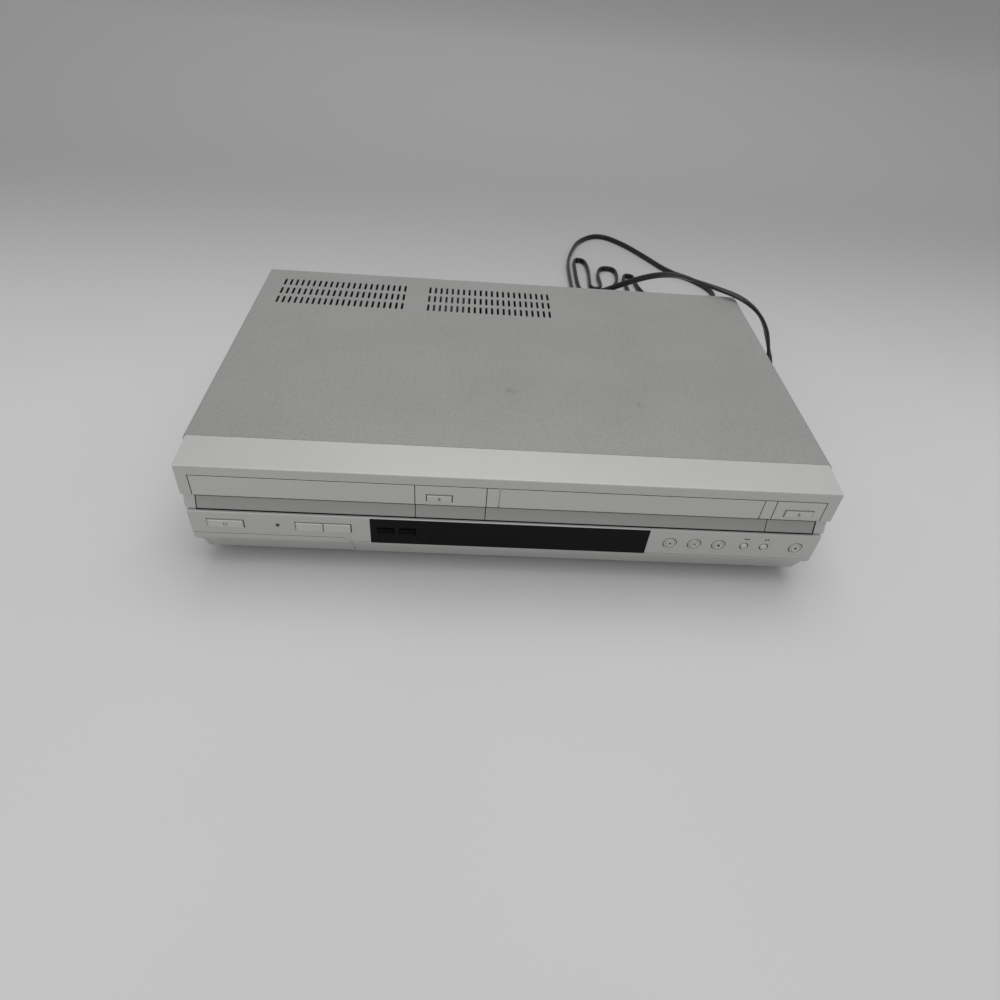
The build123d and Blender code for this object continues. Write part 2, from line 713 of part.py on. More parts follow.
with BuildPart() as jack_door:
    bar(
        [
            (face_y(jack_door_top_z), jack_door_top_z + 1),
            (face_y(chamfer_top_z), chamfer_top_z),
            (chamfer_foot_y - 0.3, panel_bottom_z + 0.6),
            (jack_pivot_y + 1.0, panel_bottom_z + 1.4),
            (jack_pivot_y + 1.0, jack_pivot_z + 1.0),
            (face_y(chamfer_top_z) + jack_door_wall, chamfer_top_z + 0.6),
            (face_y(jack_door_top_z) + jack_door_wall, jack_door_top_z + 1),
        ],
        jack_door_x0, jack_door_x1,
    )
    round_edge(jack_door, face_y(chamfer_top_z), chamfer_top_z, chamfer_radius)
    jack_outline(jack_door_x0 - 1, front_y - 2, bay_back_y, 0.0, Mode.INTERSECT)
    trim_ear(-1)
    block(-plinth_x - 1, jack_low_x0, front_y - 2, bay_back_y, panel_bottom_z - 1, ear_z, Mode.SUBTRACT)
    rod(
        "x", (jack_pivot_y, jack_pivot_z), hinge_pin,
        jack_low_x0 - 1.6, jack_door_x1 + rim_gap + bay_wall - 0.2,
    )
jack_door.part.label = "jack_door"
export_step(jack_door.part, "parts/jack_door.step")

# ================================================================ row of doors
tray_front_y = strip_top_y + door_wall + rim_gap
with BuildPart() as tray_door:
    bar(door_section, row_x0, tray_door_x1)
    round_edge(tray_door, upper_y, row_top_z, door_edge_radius)
    round_edge(tray_door, upper_y, step_z, door_edge_radius)
    for side in (-1, 1):
        for offset in (22, 50):
            x = tray_cx + side * offset
            block(
                x - 4, x + 4, upper_y + door_wall - 0.5, tray_front_y - rim_gap,
                tray_z0 + 1, tray_z1 - 1,
            )
tray_door.part.label = "tray_door"
export_step(tray_door.part, "parts/tray_door.step")

with BuildPart() as cassette_door:
    bar(door_section, flap_x0, flap_x1)
    round_edge(cassette_door, upper_y, row_top_z, door_edge_radius)
    round_edge(cassette_door, upper_y, step_z, door_edge_radius)
    for side, edge in ((-1, flap_x0), (1, flap_x1)):
        inner = edge - side * 2.5
        outer = edge + side * 2.6
        rod("x", (flap_pivot_y, flap_pivot_z), flap_pin + 0.7, min(edge, inner), max(edge, inner))
        rod("x", (flap_pivot_y, flap_pivot_z), flap_pin, min(edge, outer), max(edge, outer))
        # upright groove near each end of the face
        x = edge - side * 8.0
        block(x - 0.4, x + 0.4, upper_y - 1, upper_y + 0.6, step_z, row_top_z + 1, Mode.SUBTRACT)
cassette_door.part.label = "cassette_door"
export_step(cassette_door.part, "parts/cassette_door.step")

with BuildPart() as dvd_eject_bezel:
    bar(door_section, dvd_bezel_x0, dvd_bezel_x1)
    round_edge(dvd_eject_bezel, upper_y, row_top_z, door_edge_radius)
    round_edge(dvd_eject_bezel, upper_y, step_z, door_edge_radius)
    key_shape(eject_keys[0], front_y - 2, upper_y + door_wall + 1, button_gap, Mode.SUBTRACT)
dvd_eject_bezel.part.label = "dvd_eject_bezel"
export_step(dvd_eject_bezel.part, "parts/dvd_eject_bezel.step")

with BuildPart() as vcr_eject_bezel:
    bar(door_section, vcr_bezel_x0, row_x1)
    round_edge(vcr_eject_bezel, upper_y, row_top_z, door_edge_radius)
    round_edge(vcr_eject_bezel, upper_y, step_z, door_edge_radius)
    key_shape(eject_keys[1], front_y - 2, upper_y + door_wall + 1, button_gap, Mode.SUBTRACT)
vcr_eject_bezel.part.label = "vcr_eject_bezel"
export_step(vcr_eject_bezel.part, "parts/vcr_eject_bezel.step")

# ================================================================ keys
def build_key(key, face, wall_back):
    """Build a key: its cap through the wall, a flange behind the wall and a stem to its switch."""
    name, x, z, width, height = key
    with BuildPart() as piece:
        key_shape(key, face - button_proud, wall_back + rim_gap)
        chamfer(piece.faces().sort_by(Axis.Y)[0].edges(), length=0.3)
        key_shape(
            key, wall_back + rim_gap, wall_back + rim_gap + flange_thickness, flange_margin,
            side_grow=0.0,
        )
        rod("y", (x, z), 1.6, wall_back + rim_gap, stem_end_y)
    piece.part.label = name
    export_step(piece.part, f"parts/{name}.step")


for key in ledge_keys:
    build_key(key, face_y(key[2]), panel_inner_y + 0.5)
for key in channel_keys:
    build_key(key, face_y(key[2]), panel_inner_y + 0.5)
for key in eject_keys:
    build_key(key, upper_y, upper_y + door_wall)

with BuildPart() as indicator_lens:
    rod("y", (lamp_x, lamp_z), lamp_radius, face_y(lamp_z) - 0.3, front_board_y - 6)
    rod("y", (lamp_x, lamp_z), lamp_radius + 0.8, panel_inner_y + 0.8, panel_inner_y + 1.8)
indicator_lens.part.label = "indicator_lens"
export_step(indicator_lens.part, "parts/indicator_lens.step")

# ================================================================ boards behind the front panel
all_keys = ledge_keys + channel_keys + eject_keys
with BuildPart() as front_board:
    board_back_y = front_board_y + board_thickness
    board_low_z = panel_bottom_z + panel_wall + 1
    board_high_z = ledge_z - panel_wall
    board_end = plinth_inner_x - 0.5
    block(-board_end, board_end, front_board_y, board_back_y, board_low_z, board_high_z)
    block(
        dvd_bezel_x0 + 4, dvd_bezel_x1 - 5, front_board_y, board_back_y, board_high_z - 1, eject_z + 7
    )
    block(
        vcr_bezel_x0 + 6, board_end, front_board_y, board_back_y, board_high_z - 1, eject_z + 7
    )
    for _, x, z, _, _ in all_keys:
        block(x - 3, x + 3, front_board_y - 4, front_board_y, z - 3, z + 3)
        rod("y", (x, z), 1.75, tact_tip_y, front_board_y - 4)
    rod("y", (lamp_x, lamp_z), 2.5, front_board_y - 5.7, front_board_y)
    for i in range(12):
        x = row_x0 + 130 + i * 14
        block(x, x + 8, board_back_y, board_back_y + 3, board_low_z + 6, board_low_z + 14)
front_board.part.label = "front_board"
export_step(front_board.part, "parts/front_board.step")

with BuildPart() as display_tube:
    block(
        tube_x0, tube_x1, front_board_y - 11, front_board_y - 5,
        window_bottom_z + 3, window_top_z - 3.4,
    )
    fillet(display_tube.edges().filter_by(Axis.Y), radius=1)
    for i in range(18):
        x = tube_x0 + 6 + i * (tube_x1 - tube_x0 - 12) / 17
        block(x - 0.4, x + 0.4, front_board_y - 5, front_board_y, window_bottom_z + 5,
              window_bottom_z + 5.8)
display_tube.part.label = "display_tube"
export_step(display_tube.part, "parts/display_tube.step")

with BuildPart() as front_jacks:
    block(
        jack_low_x0 + 0.4, front_phonos[-1][0] + 9, bay_back_y + bay_wall, front_board_y,
        panel_bottom_z + 4, panel_bottom_z + 19,
    )
    for x, z in front_phonos:
        rod("y", (x, z), phono_radius, bay_back_y - 4.5, bay_back_y + bay_wall)
        rod("y", (x, z), phono_pin, bay_back_y - 5, bay_back_y, Mode.SUBTRACT)
front_jacks.part.label = "front_jacks"
export_step(front_jacks.part, "parts/front_jacks.step")

# ================================================================ disc loader
tray_y1 = tray_front_y + tray_travel + tray_hold
gear_x = tray_cx - tray_width / 2 + 18
gear_y = loader_y0 + 13
rack_x1 = gear_x - gear_tip - rim_gap
floor_z1 = loader_z0 + loader_floor
flange_z0 = tray_z0 + 0.8
flange_z1 = flange_z0 + 1.6

with BuildPart() as disc_tray:
    tray_half = tray_width / 2
    block(tray_cx - tray_half, tray_cx + tray_half, tray_front_y, tray_y1, tray_z0, tray_z1)
    fillet(disc_tray.edges().filter_by(Axis.Z), radius=3)
    block(
        tray_cx - tray_half - tray_flange, tray_cx + tray_half + tray_flange,
        loader_y0 + 4, tray_y1 - 3, flange_z0, flange_z1,
    )
    rod("z", (tray_cx, disc_y), disc_diameter / 2 + 0.7, tray_z1 - 2.2, tray_z1 + 1, Mode.SUBTRACT)
    rod("z", (tray_cx, disc_y), 40.7, tray_z1 - 3.8, tray_z1, Mode.SUBTRACT)
    # the slot for the turntable and the pickup runs out at the tray's rear edge
    rod("z", (tray_cx, disc_y), tray_slot_half, tray_z0 - 1, tray_z1 + 1, Mode.SUBTRACT)
    block(
        tray_cx - tray_slot_half, tray_cx + tray_slot_half, disc_y, tray_y1 + 1,
        tray_z0 - 1, tray_z1 + 1, Mode.SUBTRACT,
    )
    rack_y0 = tray_front_y + 6
    rack_y1 = tray_y1 - 4
    block(rack_x1 - 2.7, rack_x1, rack_y0, rack_y1, tray_z0 - 4.9, tray_z0)
    rack_pitch = 4.0
    for i in range(int((rack_y1 - rack_y0 - 4) / rack_pitch)):
        y = rack_y0 + 2 + i * rack_pitch
        block(rack_x1 - 1.2, rack_x1 + 1, y, y + 2, tray_z0 - 5, tray_z0 - 0.5, Mode.SUBTRACT)
disc_tray.part.label = "disc_tray"
export_step(disc_tray.part, "parts/disc_tray.step")

traverse_y0 = disc_y - 14
hinge_y = loader_y1 - 24
hinge_z = floor_z1 + 2.9
traverse_half = rod_spacing_half + traverse_rim
bay_half = traverse_half + 5
motor_x = tray_cx + 17
with BuildPart() as loader_frame:
    for side in (-1, 1):
        inner = tray_cx + side * loader_inner
        outer = tray_cx + side * loader_outer
        block(min(inner, outer), max(inner, outer), loader_y0, loader_y1, loader_z0, loader_z1)
        groove = tray_cx + side * (tray_width / 2 + tray_flange + 0.4)
        block(
            min(inner, groove) - 0.001, max(inner, groove) + 0.001, loader_y0 - 1, loader_y1 + 1,
            flange_z0 - rim_gap, flange_z1 + rim_gap, Mode.SUBTRACT,
        )
    block(
        tray_cx - loader_inner, tray_cx + loader_inner, loader_y0, loader_y1, loader_z0, floor_z1
    )
    block(
        tray_cx - bay_half, tray_cx + bay_half, traverse_y0 - 2, loader_y1 - 14,
        loader_z0 - 1, floor_z1 + 1, Mode.SUBTRACT,
    )
    block(
        tray_cx - loader_inner, tray_cx + loader_inner, loader_y0, loader_y0 + 2.4,
        loader_z0, floor_z1 + 5.5,
    )
    for x, y in leg_places:
        rod("z", (x, y), leg_radius, chassis_z, loader_z0)
    rod("z", (gear_x, gear_y), 2.0, floor_z1, tray_z0 - 0.7)
    rod("z", (motor_x, gear_y), 1.6, loader_z0 - 1, floor_z1 + 1, Mode.SUBTRACT)
    for side in (-1, 1):
        inner = tray_cx + side * bay_half
        outer = tray_cx + side * (bay_half + 4)
        block(
            min(inner, outer), max(inner, outer), hinge_y - 4, hinge_y + 4, floor_z1, hinge_z + 3
        )
        rod(
            "x", (hinge_y, hinge_z), rod_radius + turn_gap,
            min(inner, outer) - 0.1, max(inner, outer) + 0.1, Mode.SUBTRACT,
        )
loader_frame.part.label = "loader_frame"
export_step(loader_frame.part, "parts/loader_frame.step")

with BuildPart() as tray_gear:
    gear_z0 = floor_z1 + 1.0
    rod("z", (gear_x, gear_y), 9.0, gear_z0, gear_z0 + 5.0)
    rod("z", (gear_x, gear_y), 7.9, gear_z0 + 1.4, gear_z0 + 3.6)
    rod("z", (gear_x, gear_y), gear_tip - 1.6, gear_z0 + 5.0, tray_z0 - 1.0)
    with Locations((gear_x, gear_y, (gear_z0 + 5.0 + tray_z0 - 1.0) / 2)):
        with PolarLocations(gear_tip - 1.2, 17):
            Box(2.0, 1.7, tray_z0 - 1.0 - gear_z0 - 5.0)
    rod("z", (gear_x, gear_y), 2.0 + turn_gap, gear_z0 - 1, tray_z0, Mode.SUBTRACT)
tray_gear.part.label = "tray_gear"
export_step(tray_gear.part, "parts/tray_gear.step")

with BuildPart() as loader_motor:
    rod("z", (motor_x, gear_y), 10.0, loader_z0 - 14, loader_z0)
    fillet(loader_motor.edges().group_by(Axis.Z)[0], radius=1)
    rod("z", (motor_x, gear_y), 1.0, loader_z0, gear_z0 + 6)
loader_motor.part.label = "loader_motor"
export_step(loader_motor.part, "parts/loader_motor.step")

with BuildPart() as motor_pulley:
    pulley_radius = 5.5
    rod("z", (motor_x, gear_y), pulley_radius, gear_z0, gear_z0 + 1.4)
    rod("z", (motor_x, gear_y), pulley_radius - 1.1, gear_z0 + 1.4, gear_z0 + 3.6)
    rod("z", (motor_x, gear_y), pulley_radius, gear_z0 + 3.6, gear_z0 + 5.0)
    rod("z", (motor_x, gear_y), 1.0 + turn_gap, gear_z0 - 1, gear_z0 + 6, Mode.SUBTRACT)
motor_pulley.part.label = "motor_pulley"
export_step(motor_pulley.part, "parts/motor_pulley.step")

traverse_z0 = floor_z1 + 1.0
traverse_z1 = traverse_z0 + traverse_sheet
rod_z = traverse_z1 + 3.2
rod_y0 = disc_y + 12.5
rod_y1 = rod_y0 + sled_length + sled_travel + rod_spare
screw_x = tray_cx + rod_spacing_half + 7
with BuildPart() as traverse_plate:
    block(
        tray_cx - traverse_half, tray_cx + traverse_half, traverse_y0, hinge_y + 4,
        traverse_z0, traverse_z1,
    )
    fillet(traverse_plate.edges().filter_by(Axis.Z), radius=4)
    block(
        tray_cx - rod_spacing_half + 5, tray_cx + rod_spacing_half - 5, rod_y0 + 5, rod_y1 - 3,
        traverse_z0 - 1, traverse_z1 + 1, Mode.SUBTRACT,
    )
    for y in (rod_y0, rod_y1 - 4):
        for x in (tray_cx - rod_spacing_half, tray_cx + rod_spacing_half, screw_x):
            block(x - 3.4, x + 3.4, y, y + 4, traverse_z1, rod_z + 2.6)
        for x in (tray_cx - rod_spacing_half, tray_cx + rod_spacing_half):
            rod("y", (x, rod_z), rod_radius + turn_gap, y - 1, y + 5, Mode.SUBTRACT)
        rod("y", (screw_x, rod_z), 1.0 + turn_gap, y - 1, y + 5, Mode.SUBTRACT)
    for side in (-1, 1):
        inner = tray_cx + side * (traverse_half - 2)
        outer = tray_cx + side * (bay_half + 3.6)
        rod("x", (hinge_y, hinge_z), rod_radius, min(inner, outer), max(inner, outer))
traverse_plate.part.label = "traverse_plate"
export_step(traverse_plate.part, "parts/traverse_plate.step")

turntable_z = tray_z1 - 1.7
motor_top_z = traverse_z1 + 6.7
with BuildPart() as spindle_motor:
    rod("z", (tray_cx, disc_y), 12.0, traverse_z1, motor_top_z)
    fillet(spindle_motor.edges().group_by(Axis.Z)[-1], radius=1)
    rod("z", (tray_cx, disc_y), 1.0, motor_top_z, motor_top_z + 5.0)
spindle_motor.part.label = "spindle_motor"
export_step(spindle_motor.part, "parts/spindle_motor.step")

with BuildPart() as spindle_hub:
    rod("z", (tray_cx, disc_y), 5.0, motor_top_z + rim_gap, turntable_z - 2)
    rod("z", (tray_cx, disc_y), turntable_radius, turntable_z - 2.4, turntable_z)
    with Locations((tray_cx, disc_y, turntable_z + 1.6)):
        Cone(7.3, 5.0, 3.2)
    rod("z", (tray_cx, disc_y), 1.0 + turn_gap, motor_top_z, motor_top_z + 5.3, Mode.SUBTRACT)
spindle_hub.part.label = "spindle_hub"
export_step(spindle_hub.part, "parts/spindle_hub.step")

with BuildPart() as guide_rods:
    for x in (tray_cx - rod_spacing_half, tray_cx + rod_spacing_half):
        rod("y", (x, rod_z), rod_radius, rod_y0, rod_y1)
guide_rods.part.label = "guide_rods"
export_step(guide_rods.part, "parts/guide_rods.step")

lens_y = disc_y + 25
sled_y0 = rod_y0 + 5.5
with BuildPart() as pickup_sled:
    sled_half = rod_spacing_half + 3.4
    block(
        tray_cx - sled_half, tray_cx + sled_half, sled_y0, sled_y0 + sled_length,
        traverse_z1 + 0.5, rod_z + 3.2,
    )
    fillet(pickup_sled.edges().filter_by(Axis.Z), radius=3)
    for x in (tray_cx - rod_spacing_half, tray_cx + rod_spacing_half):
        rod("y", (x, rod_z), rod_radius + turn_gap, sled_y0 - 1, sled_y0 + sled_length + 1, Mode.SUBTRACT)
    block(
        tray_cx - 12, tray_cx + 12, sled_y0 + 2, sled_y0 + 26, rod_z + 3.2, rod_z + 5.2
    )
    rod("z", (tray_cx, lens_y), 6.0, rod_z + 5.2, tray_z1 - 4.4)
    rod("z", (tray_cx, lens_y), 2.6, tray_z1 - 4.4, tray_z1 - 3.8)
    block(
        screw_x - 4, screw_x - 2.3, sled_y0 + 8, sled_y0 + 20, rod_z - 1.5, rod_z + 1.5
    )
pickup_sled.part.label = "pickup_sled"
export_step(pickup_sled.part, "parts/pickup_sled.step")

with BuildPart() as feed_screw:
    rod("y", (screw_x, rod_z), 1.0, rod_y0, rod_y1)
    rod("y", (screw_x, rod_z), 2.0, rod_y0 + 4.2, rod_y1 - 4.2)
    for i in range(27):
        y = rod_y0 + 6.5 + i * 3.0
        rod("y", (screw_x, rod_z), 2.4, y, y + 1.0, Mode.SUBTRACT)
        rod("y", (screw_x, rod_z), 1.5, y - 0.1, y + 1.1)
feed_screw.part.label = "feed_screw"
export_step(feed_screw.part, "parts/feed_screw.step")

bridge_z = loader_z1 + 2.0
bridge_sheet = 1.2
with BuildPart() as clamp_bridge:
    block(
        tray_cx - loader_outer, tray_cx + loader_outer, disc_y - 20, disc_y + 20,
        bridge_z, bridge_z + bridge_sheet,
    )
    for side in (-1, 1):
        inner = tray_cx + side * (loader_inner + 0.5)
        outer = tray_cx + side * loader_outer
        block(
            min(inner, outer), max(inner, outer), disc_y - 20, disc_y + 20, loader_z1, bridge_z
        )
    rod("z", (tray_cx, disc_y), clamper_radius - 3, bridge_z - 1, bridge_z + 3, Mode.SUBTRACT)
clamp_bridge.part.label = "clamp_bridge"
export_step(clamp_bridge.part, "parts/clamp_bridge.step")

with BuildPart() as clamper:
    clamper_z = turntable_z + 3.7
    rim_z = bridge_z + bridge_sheet + rim_gap
    rod("z", (tray_cx, disc_y), clamper_radius, clamper_z, clamper_z + 2)
    rod("z", (tray_cx, disc_y), clamper_radius - 6, clamper_z + 2, rim_z)
    rod("z", (tray_cx, disc_y), clamper_radius - 1, rim_z, rim_z + 1.5)
clamper.part.label = "clamper"
export_step(clamper.part, "parts/clamper.step")

# ================================================================ cassette deck
reel_y = basket_y0 + 79
reels = [deck_cx - reel_spacing / 2, deck_cx + reel_spacing / 2]
capstan_x = deck_rear_x1 - 22
capstan_y = deck_y1 + 12
pinch_pivot_x = capstan_x + 18
pinch_pivot_y = capstan_y + 20
basket_z0 = case_height - basket_bottom_drop
basket_z1 = basket_z0 + cassette_height + 2 * basket_sheet + cassette_play
rail_z = basket_z0 + 16
pin_ys = (basket_y0 + 22, basket_y0 + 50)
basket_pin_step = 7.0  # basket's pins stand behind the carriage's
with BuildPart() as deck_chassis:
    left = deck_cx - deck_x
    right = deck_cx + deck_x
    block(left, right, deck_y0, deck_y1, deck_z0, deck_z1)
    block(left, deck_rear_x1, deck_y1 - 1, deck_rear_y, deck_z0, deck_z1)
    for inner, outer in ((left, left - deck_sheet), (right, right + deck_sheet)):
        x0 = min(inner, outer)
        x1 = max(inner, outer)
        block(x0, x1, deck_y0 + 3, deck_y1 - 2, deck_z0, deck_wall_top_z)
        block(
            x0 - 0.1, x1 + 0.1, pin_ys[0] - deck_pin - 0.3,
            pin_ys[1] + basket_back_travel + deck_pin + 0.3,
            rail_z - deck_pin - 0.1, rail_z + deck_pin + 0.1, Mode.SUBTRACT,
        )
    for x in reels:
        rod("z", (x, reel_y), 1.5, deck_z1, deck_z1 + 10)
    rod("z", (capstan_x, capstan_y), 5.0, deck_z1, deck_z1 + 6)
    rod(
        "z", (capstan_x, capstan_y), capstan_radius + turn_gap, deck_z0 - 1, deck_z1 + 7,
        Mode.SUBTRACT,
    )
    rod("z", (pinch_pivot_x, pinch_pivot_y), 1.5, deck_z1, deck_z1 + 11)
deck_chassis.part.label = "deck_chassis"
export_step(deck_chassis.part, "parts/deck_chassis.step")

with BuildPart() as basket_carriage:
    plate_y0 = pin_ys[0] - 6
    plate_y1 = pin_ys[1] + basket_pin_step + deck_pin + 3
    carriage_top_z = deck_wall_top_z + 1.5
    for side in (-1, 1):
        inner = deck_cx + side * carriage_x0
        outer = deck_cx + side * carriage_x1
        pin_end = deck_cx + side * (deck_x + deck_sheet + 0.5)
        x0 = min(inner, outer)
        x1 = max(inner, outer)
        block(x0, x1, plate_y0, plate_y1, rail_z - 32, carriage_top_z)
        for y in pin_ys:
            rod("x", (y, rail_z), deck_pin, min(inner, pin_end), max(inner, pin_end))
            pin_z = basket_z0 + 9
            block(
                x0 - 0.1, x1 + 0.1, y + basket_pin_step - deck_pin - 0.1,
                y + basket_pin_step + deck_pin + 0.1,
                pin_z - basket_down_travel - deck_pin - 0.2, pin_z + deck_pin + 0.2, Mode.SUBTRACT,
            )
    block(
        deck_cx - carriage_x1, deck_cx + carriage_x1, plate_y0 + 14, plate_y0 + 24,
        carriage_top_z - 1.2, carriage_top_z,
    )
basket_carriage.part.label = "basket_carriage"
export_step(basket_carriage.part, "parts/basket_carriage.step")

with BuildPart() as cassette_basket:
    block(deck_cx - basket_x, deck_cx + basket_x, basket_y0, basket_y1, basket_z0, basket_z1)
    inside = basket_x - basket_sheet
    block(
        deck_cx - inside, deck_cx + inside, basket_y0 - 1, basket_y1 - basket_sheet,
        basket_z0 + basket_sheet, basket_z1 - basket_sheet, Mode.SUBTRACT,
    )
    # the floor is left as two side ledges, so that the basket clears the reels
    block(
        deck_cx - inside + 14, deck_cx + inside - 14, basket_y0 - 1, basket_y1 + 1,
        basket_z0 - 1, basket_z1 - 8, Mode.SUBTRACT,
    )
    with BuildSketch(Plane.XY.offset(basket_z1)):
        with Locations((deck_cx, (basket_y0 + basket_y1) / 2)):
            with GridLocations(96, 1, 2, 1):
                RectangleRounded(60, 54, 6)
    extrude(amount=-2 * basket_sheet, mode=Mode.SUBTRACT)
    for side in (-1, 1):
        inner = deck_cx + side * (basket_x - 0.4)
        outer = deck_cx + side * (deck_x - 0.2)
        for y in pin_ys:
            rod(
                "x", (y + basket_pin_step, basket_z0 + 9), deck_pin,
                min(inner, outer), max(inner, outer),
            )
cassette_basket.part.label = "cassette_basket"
export_step(cassette_basket.part, "parts/cassette_basket.step")

with BuildPart() as lower_drum:
    rod("z", (drum_x, drum_y), drum_radius, deck_z1 + 4, deck_z0 + drum_split)
    rod("z", (drum_x, drum_y), drum_radius - 6, deck_z1, deck_z1 + 4)
    rod("z", (drum_x, drum_y), 3.0, deck_z0 + drum_split, deck_z0 + drum_height - 1)
lower_drum.part.label = "lower_drum"
export_step(lower_drum.part, "parts/lower_drum.step")

with BuildPart() as upper_drum:
    drum_z0 = deck_z0 + drum_split + rim_gap
    drum_z1 = deck_z0 + drum_height
    rod("z", (drum_x, drum_y), drum_radius, drum_z0, drum_z1)
    rod("z", (drum_x, drum_y), drum_radius - 4, drum_z1 - 2, drum_z1 + 1, Mode.SUBTRACT)
    rod("z", (drum_x, drum_y), 12, drum_z1 - 2, drum_z1 + 1)
    rod("z", (drum_x, drum_y), 3.0 + turn_gap, drum_z0 - 1, drum_z1 + 2, Mode.SUBTRACT)
    with Locations((drum_x, drum_y, drum_z0 + 1)):
        with PolarLocations(drum_radius, 4):
            Box(2.4, 3.0, 2.4, mode=Mode.SUBTRACT)
upper_drum.part.label = "upper_drum"
export_step(upper_drum.part, "parts/upper_drum.step")

with BuildPart() as capstan:
    rod("z", (capstan_x, capstan_y), capstan_radius, deck_z0 - 8, deck_z1 + 26)
    rod("z", (capstan_x, capstan_y), flywheel_radius, deck_z0 - 8, deck_z0 - 4)
    rod("z", (capstan_x, capstan_y), 4.0, deck_z0 - 4, deck_z0 - rim_gap)
capstan.part.label = "capstan"
export_step(capstan.part, "parts/capstan.step")

pinch_angle = math.degrees(math.atan2(capstan_y - pinch_pivot_y, capstan_x - pinch_pivot_x)) + 40
roller_x = pinch_pivot_x + pinch_arm_length * math.cos(math.radians(pinch_angle))
roller_y = pinch_pivot_y + pinch_arm_length * math.sin(math.radians(pinch_angle))
with BuildPart() as pinch_arm:
    arm_z0 = deck_z1 + 7
    rod("z", (pinch_pivot_x, pinch_pivot_y), 4.0, deck_z1 + rim_gap, arm_z0 + 3)
    with Locations(
        Location(
            ((pinch_pivot_x + roller_x) / 2, (pinch_pivot_y + roller_y) / 2, arm_z0 + 1.5),
            (0, 0, pinch_angle),
        )
    ):
        Box(pinch_arm_length, 5, 3)
    rod("z", (roller_x, roller_y), 2.5, arm_z0, arm_z0 + 5)
    rod("z", (roller_x, roller_y), pinch_radius, arm_z0 + 5, arm_z0 + 19)
    rod(
        "z", (pinch_pivot_x, pinch_pivot_y), 1.5 + turn_gap, deck_z1, arm_z0 + 4, Mode.SUBTRACT
    )
pinch_arm.part.label = "pinch_arm"
export_step(pinch_arm.part, "parts/pinch_arm.step")

for name, x in zip(("supply_reel", "take_up_reel"), reels):
    with BuildPart() as reel:
        rod("z", (x, reel_y), reel_radius, deck_z1 + 1.0, deck_z1 + 3.8)
        rod("z", (x, reel_y), 4.2, deck_z1 + rim_gap, deck_z1 + 12.8)
        with Locations((x, reel_y, deck_z1 + 8)):
            with PolarLocations(4.6, 3):
                Box(2.4, 1.4, 8)
        rod("z", (x, reel_y), 1.5 + turn_gap, deck_z1, deck_z1 + 10.3, Mode.SUBTRACT)
    reel.part.label = name
    export_step(reel.part, f"parts/{name}.step")

with BuildPart() as tape_heads:
    erase_x = drum_x - drum_radius - 14
    sound_x = drum_x + drum_radius + 3.5
    block(erase_x, erase_x + 9, deck_y1 + 7, deck_y1 + 17, deck_z1, deck_z1 + 24)
    block(sound_x, sound_x + 7, deck_y1 + 24, deck_y1 + 34, deck_z1, deck_z1 + 24)
    for x, y in (
        (erase_x - 8, deck_y1 + 10),
        (erase_x + 15, deck_y1 + 8),
        (sound_x + 2, deck_y1 + 8),
    ):
        rod("z", (x, y), 2.2, deck_z1, deck_z1 + 24)
        rod("z", (x, y), 3.6, deck_z1, deck_z1 + 3)
        rod("z", (x, y), 3.6, deck_z1 + 22, deck_z1 + 24)
tape_heads.part.label = "tape_heads"
export_step(tape_heads.part, "parts/tape_heads.step")

with BuildPart() as loading_motor:
    load_x = deck_cx - deck_x + 18
    load_z = deck_z1 + 11
    rod("y", (load_x, load_z), 9.0, drum_y + 2, drum_y + 30)
    block(load_x - 7, load_x + 7, drum_y + 4, drum_y + 28, deck_z1, load_z)
    rod("y", (load_x, load_z), 1.2, drum_y - 16, drum_y + 2)
    for i in range(6):
        rod("y", (load_x, load_z), 4.0, drum_y - 14 + i * 2.5, drum_y - 12.8 + i * 2.5)
loading_motor.part.label = "loading_motor"
export_step(loading_motor.part, "parts/loading_motor.step")

# ================================================================ main and power boards
sink_height = loader_z0 - board_top_z - 6.4  # heat sink, clear of the loader above it
with BuildPart() as main_board:
    block(main_x0, main_x1, main_y0, main_y1, board_z, board_top_z)
    for x, y in leg_places:
        rod("z", (x, y), leg_radius + 1, board_z - 1, board_top_z + 1, Mode.SUBTRACT)
    # x and y of the corner nearest the left front, width, depth and height of each large part
    for x, y, w, d, h in (
        (20, 30, 26, 26, 2.6),
        (58, 30, 18, 18, 2.2),
        (84, 34, 22, 10, 2.2),
        (24, 70, 34, 34, 2.8),
        (70, 66, 14, 14, 2.0),
        (96, 62, 12, 20, 2.4),
        (22, 116, 28, 28, 2.6),
        (64, 112, 40, 12, 9.0),
        (66, 134, 30, 8, 12.0),
        (20, 158, 44, 4, sink_height),
        (74, 158, 16, 24, 3.0),
        (128, 40, 26, 8, 9.0),
        (128, 60, 26, 8, 9.0),
        (126, 84, 20, 20, 2.4),
        (130, 116, 14, 28, 2.6),
    ):
        block(
            main_x0 + x, main_x0 + x + w, main_y0 + y, main_y0 + y + d, board_top_z, board_top_z + h
        )
    for i in range(9):
        x = main_x0 + 16 + i * 12
        rod("z", (x, main_y0 + 152), 4.0, board_top_z, board_top_z + 11)
    for i in range(6):
        x = main_x0 + 20 + i * 17
        rod("z", (x, main_y0 + 192), 5.0, board_top_z, board_top_z + 14)
main_board.part.label = "main_board"
export_step(main_board.part, "parts/main_board.step")

